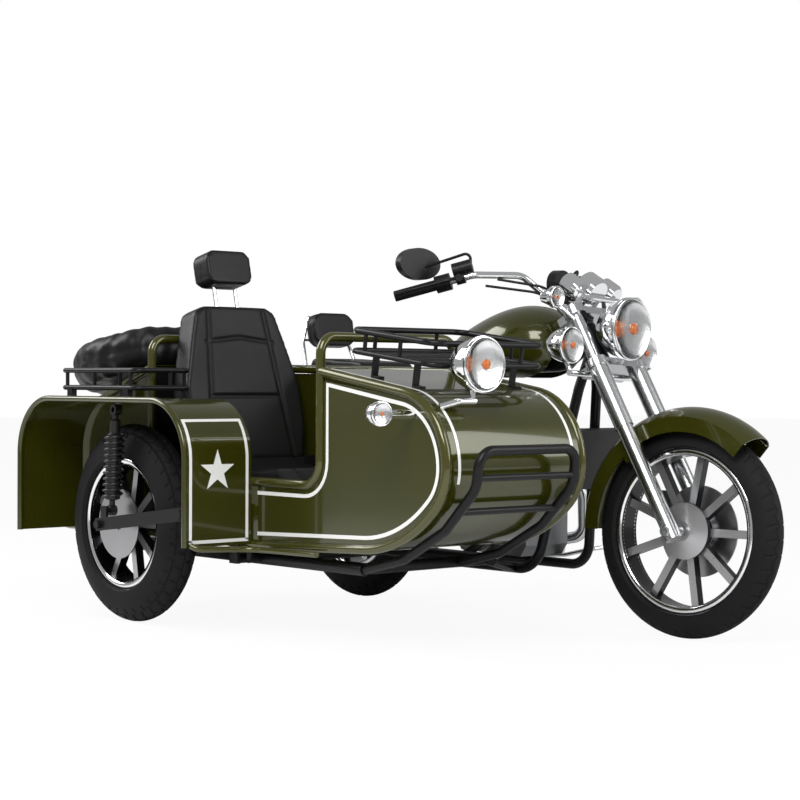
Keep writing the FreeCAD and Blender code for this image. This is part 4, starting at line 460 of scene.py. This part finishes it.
paint_film(piece("fender_star", mesh, white, "chassis"))

# The lines along both edges of the front fender, thinner than the sidecar's.
# They turn with the fork.
fender_r = 0.3185 + 0.018 + 0.003 + 0.0006
for name, y in (("right", -0.056), ("left", 0.056)):
    line, ways = [], []
    for step in range(40):
        angle = math.radians(50 + 130 * step / 39)
        spot = place(1.490 + fender_r * math.cos(angle), y, 0.3185 + fender_r * math.sin(angle))
        line.append(lock @ spot)
        ways.append(lock.to_3x3() @ left)
    stripe("front_fender_stripe_" + name, line, ways, 0.007, "steering")

# Grips and small controls in black rubber and moulded plastic, with mirrors, cables and buckles.
# The rear lamps are red, with a wet gloss.
dress(finish("grip_rubber", (0.008, 0.008, 0.008), 0.0, 0.6, 300.0, 0.4, 0.2, shine=0.2), "grips")
dress(finish("black_plastic", (0.007, 0.007, 0.008), 0.0, 0.33, 900.0, 0.12, 0.2, shine=0.25),
      "hand_controls", "mirrors", "control_cables", "seat_belt_buckles")
dress(finish("red_lens", (0.35, 0.012, 0.016), 0.0, 0.12, 300.0, 0.1, 0.1, 0.6), "rear_lamps")

# Seats, backrest and headrest in black leatherette over foam, with pressed seams.
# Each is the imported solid, remeshed, rounded and crowned, and its seams are pulled in.
hide = finish("leatherette", (0.007, 0.007, 0.008), 0.0, 0.36, 650.0, 0.45, 0.25, 0.0, shine=0.24)


def cushion(name, rounds, seams, depth=0.004, crown=0.0):
    """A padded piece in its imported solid's place."""
    thing = bpy.data.objects.new(name + "_padded", nodes[name].data.copy())
    bpy.context.scene.collection.objects.link(thing)
    remesh = thing.modifiers.new("even", "REMESH")
    remesh.mode = "VOXEL"
    remesh.voxel_size = 0.006
    smooth = thing.modifiers.new("soften", "SMOOTH")
    smooth.iterations = rounds
    smooth.factor = 0.5
    graph = bpy.context.evaluated_depsgraph_get()
    soft = bpy.data.meshes.new_from_object(thing.evaluated_get(graph))
    bpy.data.objects.remove(thing)
    mesh = bmesh.new()
    mesh.from_mesh(soft)
    low_corner, high_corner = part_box(name)
    middle = (low_corner + high_corner) / 2
    reach = (high_corner - low_corner) / 2
    mesh.normal_update()
    moves = []
    for vert in mesh.verts:
        share = (vert.co.y - middle.y) / reach.y
        rise = (vert.co.z - middle.z) / reach.z
        run = (vert.co.x - middle.x) / reach.x
        move = seams(share, rise, run, vert.normal)
        moves.append(vert.normal * (-depth * move + crown * max(0.0, 1 - share * share)))
    for vert, move in zip(mesh.verts, moves):
        vert.co += move
    for vert in mesh.verts:
        for axis in range(3):
            vert.co[axis] = min(max(vert.co[axis], low_corner[axis] - 0.004), high_corner[axis] + 0.004)
    for face in mesh.faces:
        face.smooth = True
    made = piece(name + "_padded", mesh, hide, frame["nodes"][name]["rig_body"])
    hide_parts(name)


def line_at(value, at, width):
    """How deep a seam is at a distance from its line, from 0 to 1."""
    return math.exp(-((value - at) / width) ** 2)


def back_seams(share, rise, run, normal):
    """The seat back's two long seams, a yoke and a waist seam."""
    if normal.x < 0.3:
        return 0.0
    spread = abs(share) - (0.60 - 0.12 * rise)
    return max(line_at(spread, 0, 0.030),
               line_at(rise, 0.62 - 0.1 * abs(share), 0.018) * (abs(share) < 0.6),
               line_at(rise, -0.12, 0.018) * (abs(share) < 0.62))


def seat_seams(share, rise, run, normal):
    """A cushion's border seams and a cross seam."""
    if normal.z < 0.3:
        return 0.0
    return max(line_at(abs(share), 0.66, 0.028), line_at(run, -0.15, 0.02) * (abs(share) < 0.66))


cushion("seat_cushion", 12, seat_seams, 0.005, 0.0)
cushion("seat_back", 14, back_seams, 0.006, 0.003)
cushion("headrest", 5, lambda share, rise, run, normal: line_at(run, 0.1, 0.05), 0.002, 0.0)
cushion("backrest_pad", 4, lambda share, rise, run, normal: line_at(run, 0.1, 0.08), 0.002, 0.0)
cushion("rider_seat", 10,
        lambda share, rise, run, normal: line_at(rise, -0.1, 0.05) * (abs(normal.y) > 0.6), 0.003, 0.0)

# The spare wheel's cover, a coated black cloth drawn over the tyre.
# It has slack folds towards its hem and is slightly dished in the middle.
cover_cloth = finish("cover_cloth", (0.006, 0.006, 0.007), 0.0, 0.40, 700.0, 0.4, 0.3, 0.0, shine=0.24)
source = bpy.data.objects.new("cover_source", nodes["spare_wheel"].data.copy())
bpy.context.scene.collection.objects.link(source)
even = source.modifiers.new("even", "REMESH")
even.mode = "VOXEL"
even.voxel_size = 0.006
graph = bpy.context.evaluated_depsgraph_get()
drawn = bpy.data.meshes.new_from_object(source.evaluated_get(graph))
bpy.data.objects.remove(source)
mesh = bmesh.new()
mesh.from_mesh(drawn)
mesh.normal_update()
cover_low, cover_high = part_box("spare_wheel")
hub = (cover_low + cover_high) / 2
moves = []
for vert in mesh.verts:
    out = vert.co - hub
    angle = math.atan2(out.y, out.x)
    reach = math.hypot(out.x, out.y) / 0.3
    edge = min(1.0, max(0.0, reach - 0.45) * 1.8)
    crease = noise.noise(Vector((angle * 9, out.z * 22, 3.1)))
    fold = math.sin(angle * 23 + 5 * noise.noise(vert.co * 7)) * 0.5 + crease
    broad = noise.noise(vert.co * 9) * 0.006
    moves.append(vert.normal * (-0.005 + fold * 0.0042 * edge + broad))
for vert, move in zip(mesh.verts, moves):
    vert.co += move
for face in mesh.faces:
    face.smooth = True
cover = piece("spare_cover", mesh, cover_cloth, "chassis")
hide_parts("spare_wheel")

# Studio: a pale floor that fades into white.
# Soft light falls from above and from both sides.
centre = (low + high) / 2
bpy.ops.mesh.primitive_plane_add(size=60, location=(centre.x, centre.y, low.z - 0.0005))
floor = bpy.context.object
floor.name = "studio_floor"
pale = bpy.data.materials.new("pale_floor")
pale.use_nodes = True
tree = pale.node_tree
tree.nodes["Principled BSDF"].inputs["Base Color"].default_value = (0.9, 0.9, 0.9, 1)
tree.nodes["Principled BSDF"].inputs["Roughness"].default_value = 0.9
glow = tree.nodes.new("ShaderNodeEmission")
seen = tree.nodes.new("ShaderNodeLightPath")
mix = tree.nodes.new("ShaderNodeMixShader")
weight = tree.nodes.new("ShaderNodeMath")
weight.operation = "MULTIPLY"
weight.inputs[1].default_value = 0.93
tree.links.new(seen.outputs["Is Camera Ray"], weight.inputs[0])
tree.links.new(weight.outputs["Value"], mix.inputs["Fac"])
tree.links.new(tree.nodes["Principled BSDF"].outputs["BSDF"], mix.inputs[1])
tree.links.new(glow.outputs["Emission"], mix.inputs[2])
tree.links.new(mix.outputs["Shader"], tree.nodes["Material Output"].inputs["Surface"])
floor.data.materials.append(pale)
world = bpy.data.worlds.new("studio")
bpy.context.scene.world = world
world.use_nodes = True
world.node_tree.nodes["Background"].inputs["Color"].default_value = (1, 1, 1, 1)
sky = world.node_tree
sky.nodes["Background"].inputs["Strength"].default_value = 0.38
backdrop = sky.nodes.new("ShaderNodeBackground")
backdrop.inputs["Color"].default_value = (1, 1, 1, 1)
camera_ray = sky.nodes.new("ShaderNodeLightPath")
either = sky.nodes.new("ShaderNodeMixShader")
sky.links.new(camera_ray.outputs["Is Camera Ray"], either.inputs["Fac"])
sky.links.new(sky.nodes["Background"].outputs["Background"], either.inputs[1])
sky.links.new(backdrop.outputs["Background"], either.inputs[2])
sky.links.new(either.outputs["Shader"], sky.nodes["World Output"].inputs["Surface"])
for name, stand, power, width in (("key", (3.2, -3.6, 4.2), 260, 3.0), ("fill", (4.5, 2.5, 2.6), 120, 3.0),
                                  ("rim", (-3.5, -2.5, 3.2), 140, 2.5)):
    light = bpy.data.objects.new(name, bpy.data.lights.new(name, "AREA"))
    light.data.energy = power
    light.data.size = width
    light.location = stand
    light.rotation_mode = "QUATERNION"
    light.rotation_quaternion = (centre - Vector(stand)).to_track_quat("-Z", "Y")
    bpy.context.scene.collection.objects.link(light)

# Camera, from the front right at lamp height.
# A long lens, dipped and rolled by a fraction of a degree.
turn = math.radians(48.387)
dip = math.radians(0.535)
roll = math.radians(0.267)
ahead = Vector((-math.sin(turn) * math.cos(dip), math.cos(turn) * math.cos(dip), -math.sin(dip)))
right = Vector((math.cos(turn), math.sin(turn), 0))
above = right.cross(ahead)
across = right * math.cos(roll) + above * math.sin(roll)
upward = above * math.cos(roll) - right * math.sin(roll)
camera = bpy.data.objects.new("camera", bpy.data.cameras.new("camera"))
bpy.context.scene.collection.objects.link(camera)
camera.data.lens = 88.2
camera.data.sensor_width = 36
camera.matrix_world = Matrix((
    (across.x, upward.x, -ahead.x, rear_axle.x + 5.2649),
    (across.y, upward.y, -ahead.y, rear_axle.y - 4.5022),
    (across.z, upward.z, -ahead.z, 0.7579),
    (0, 0, 0, 1)))
bpy.context.scene.camera = camera
bpy.context.scene.view_settings.view_transform = "Standard"
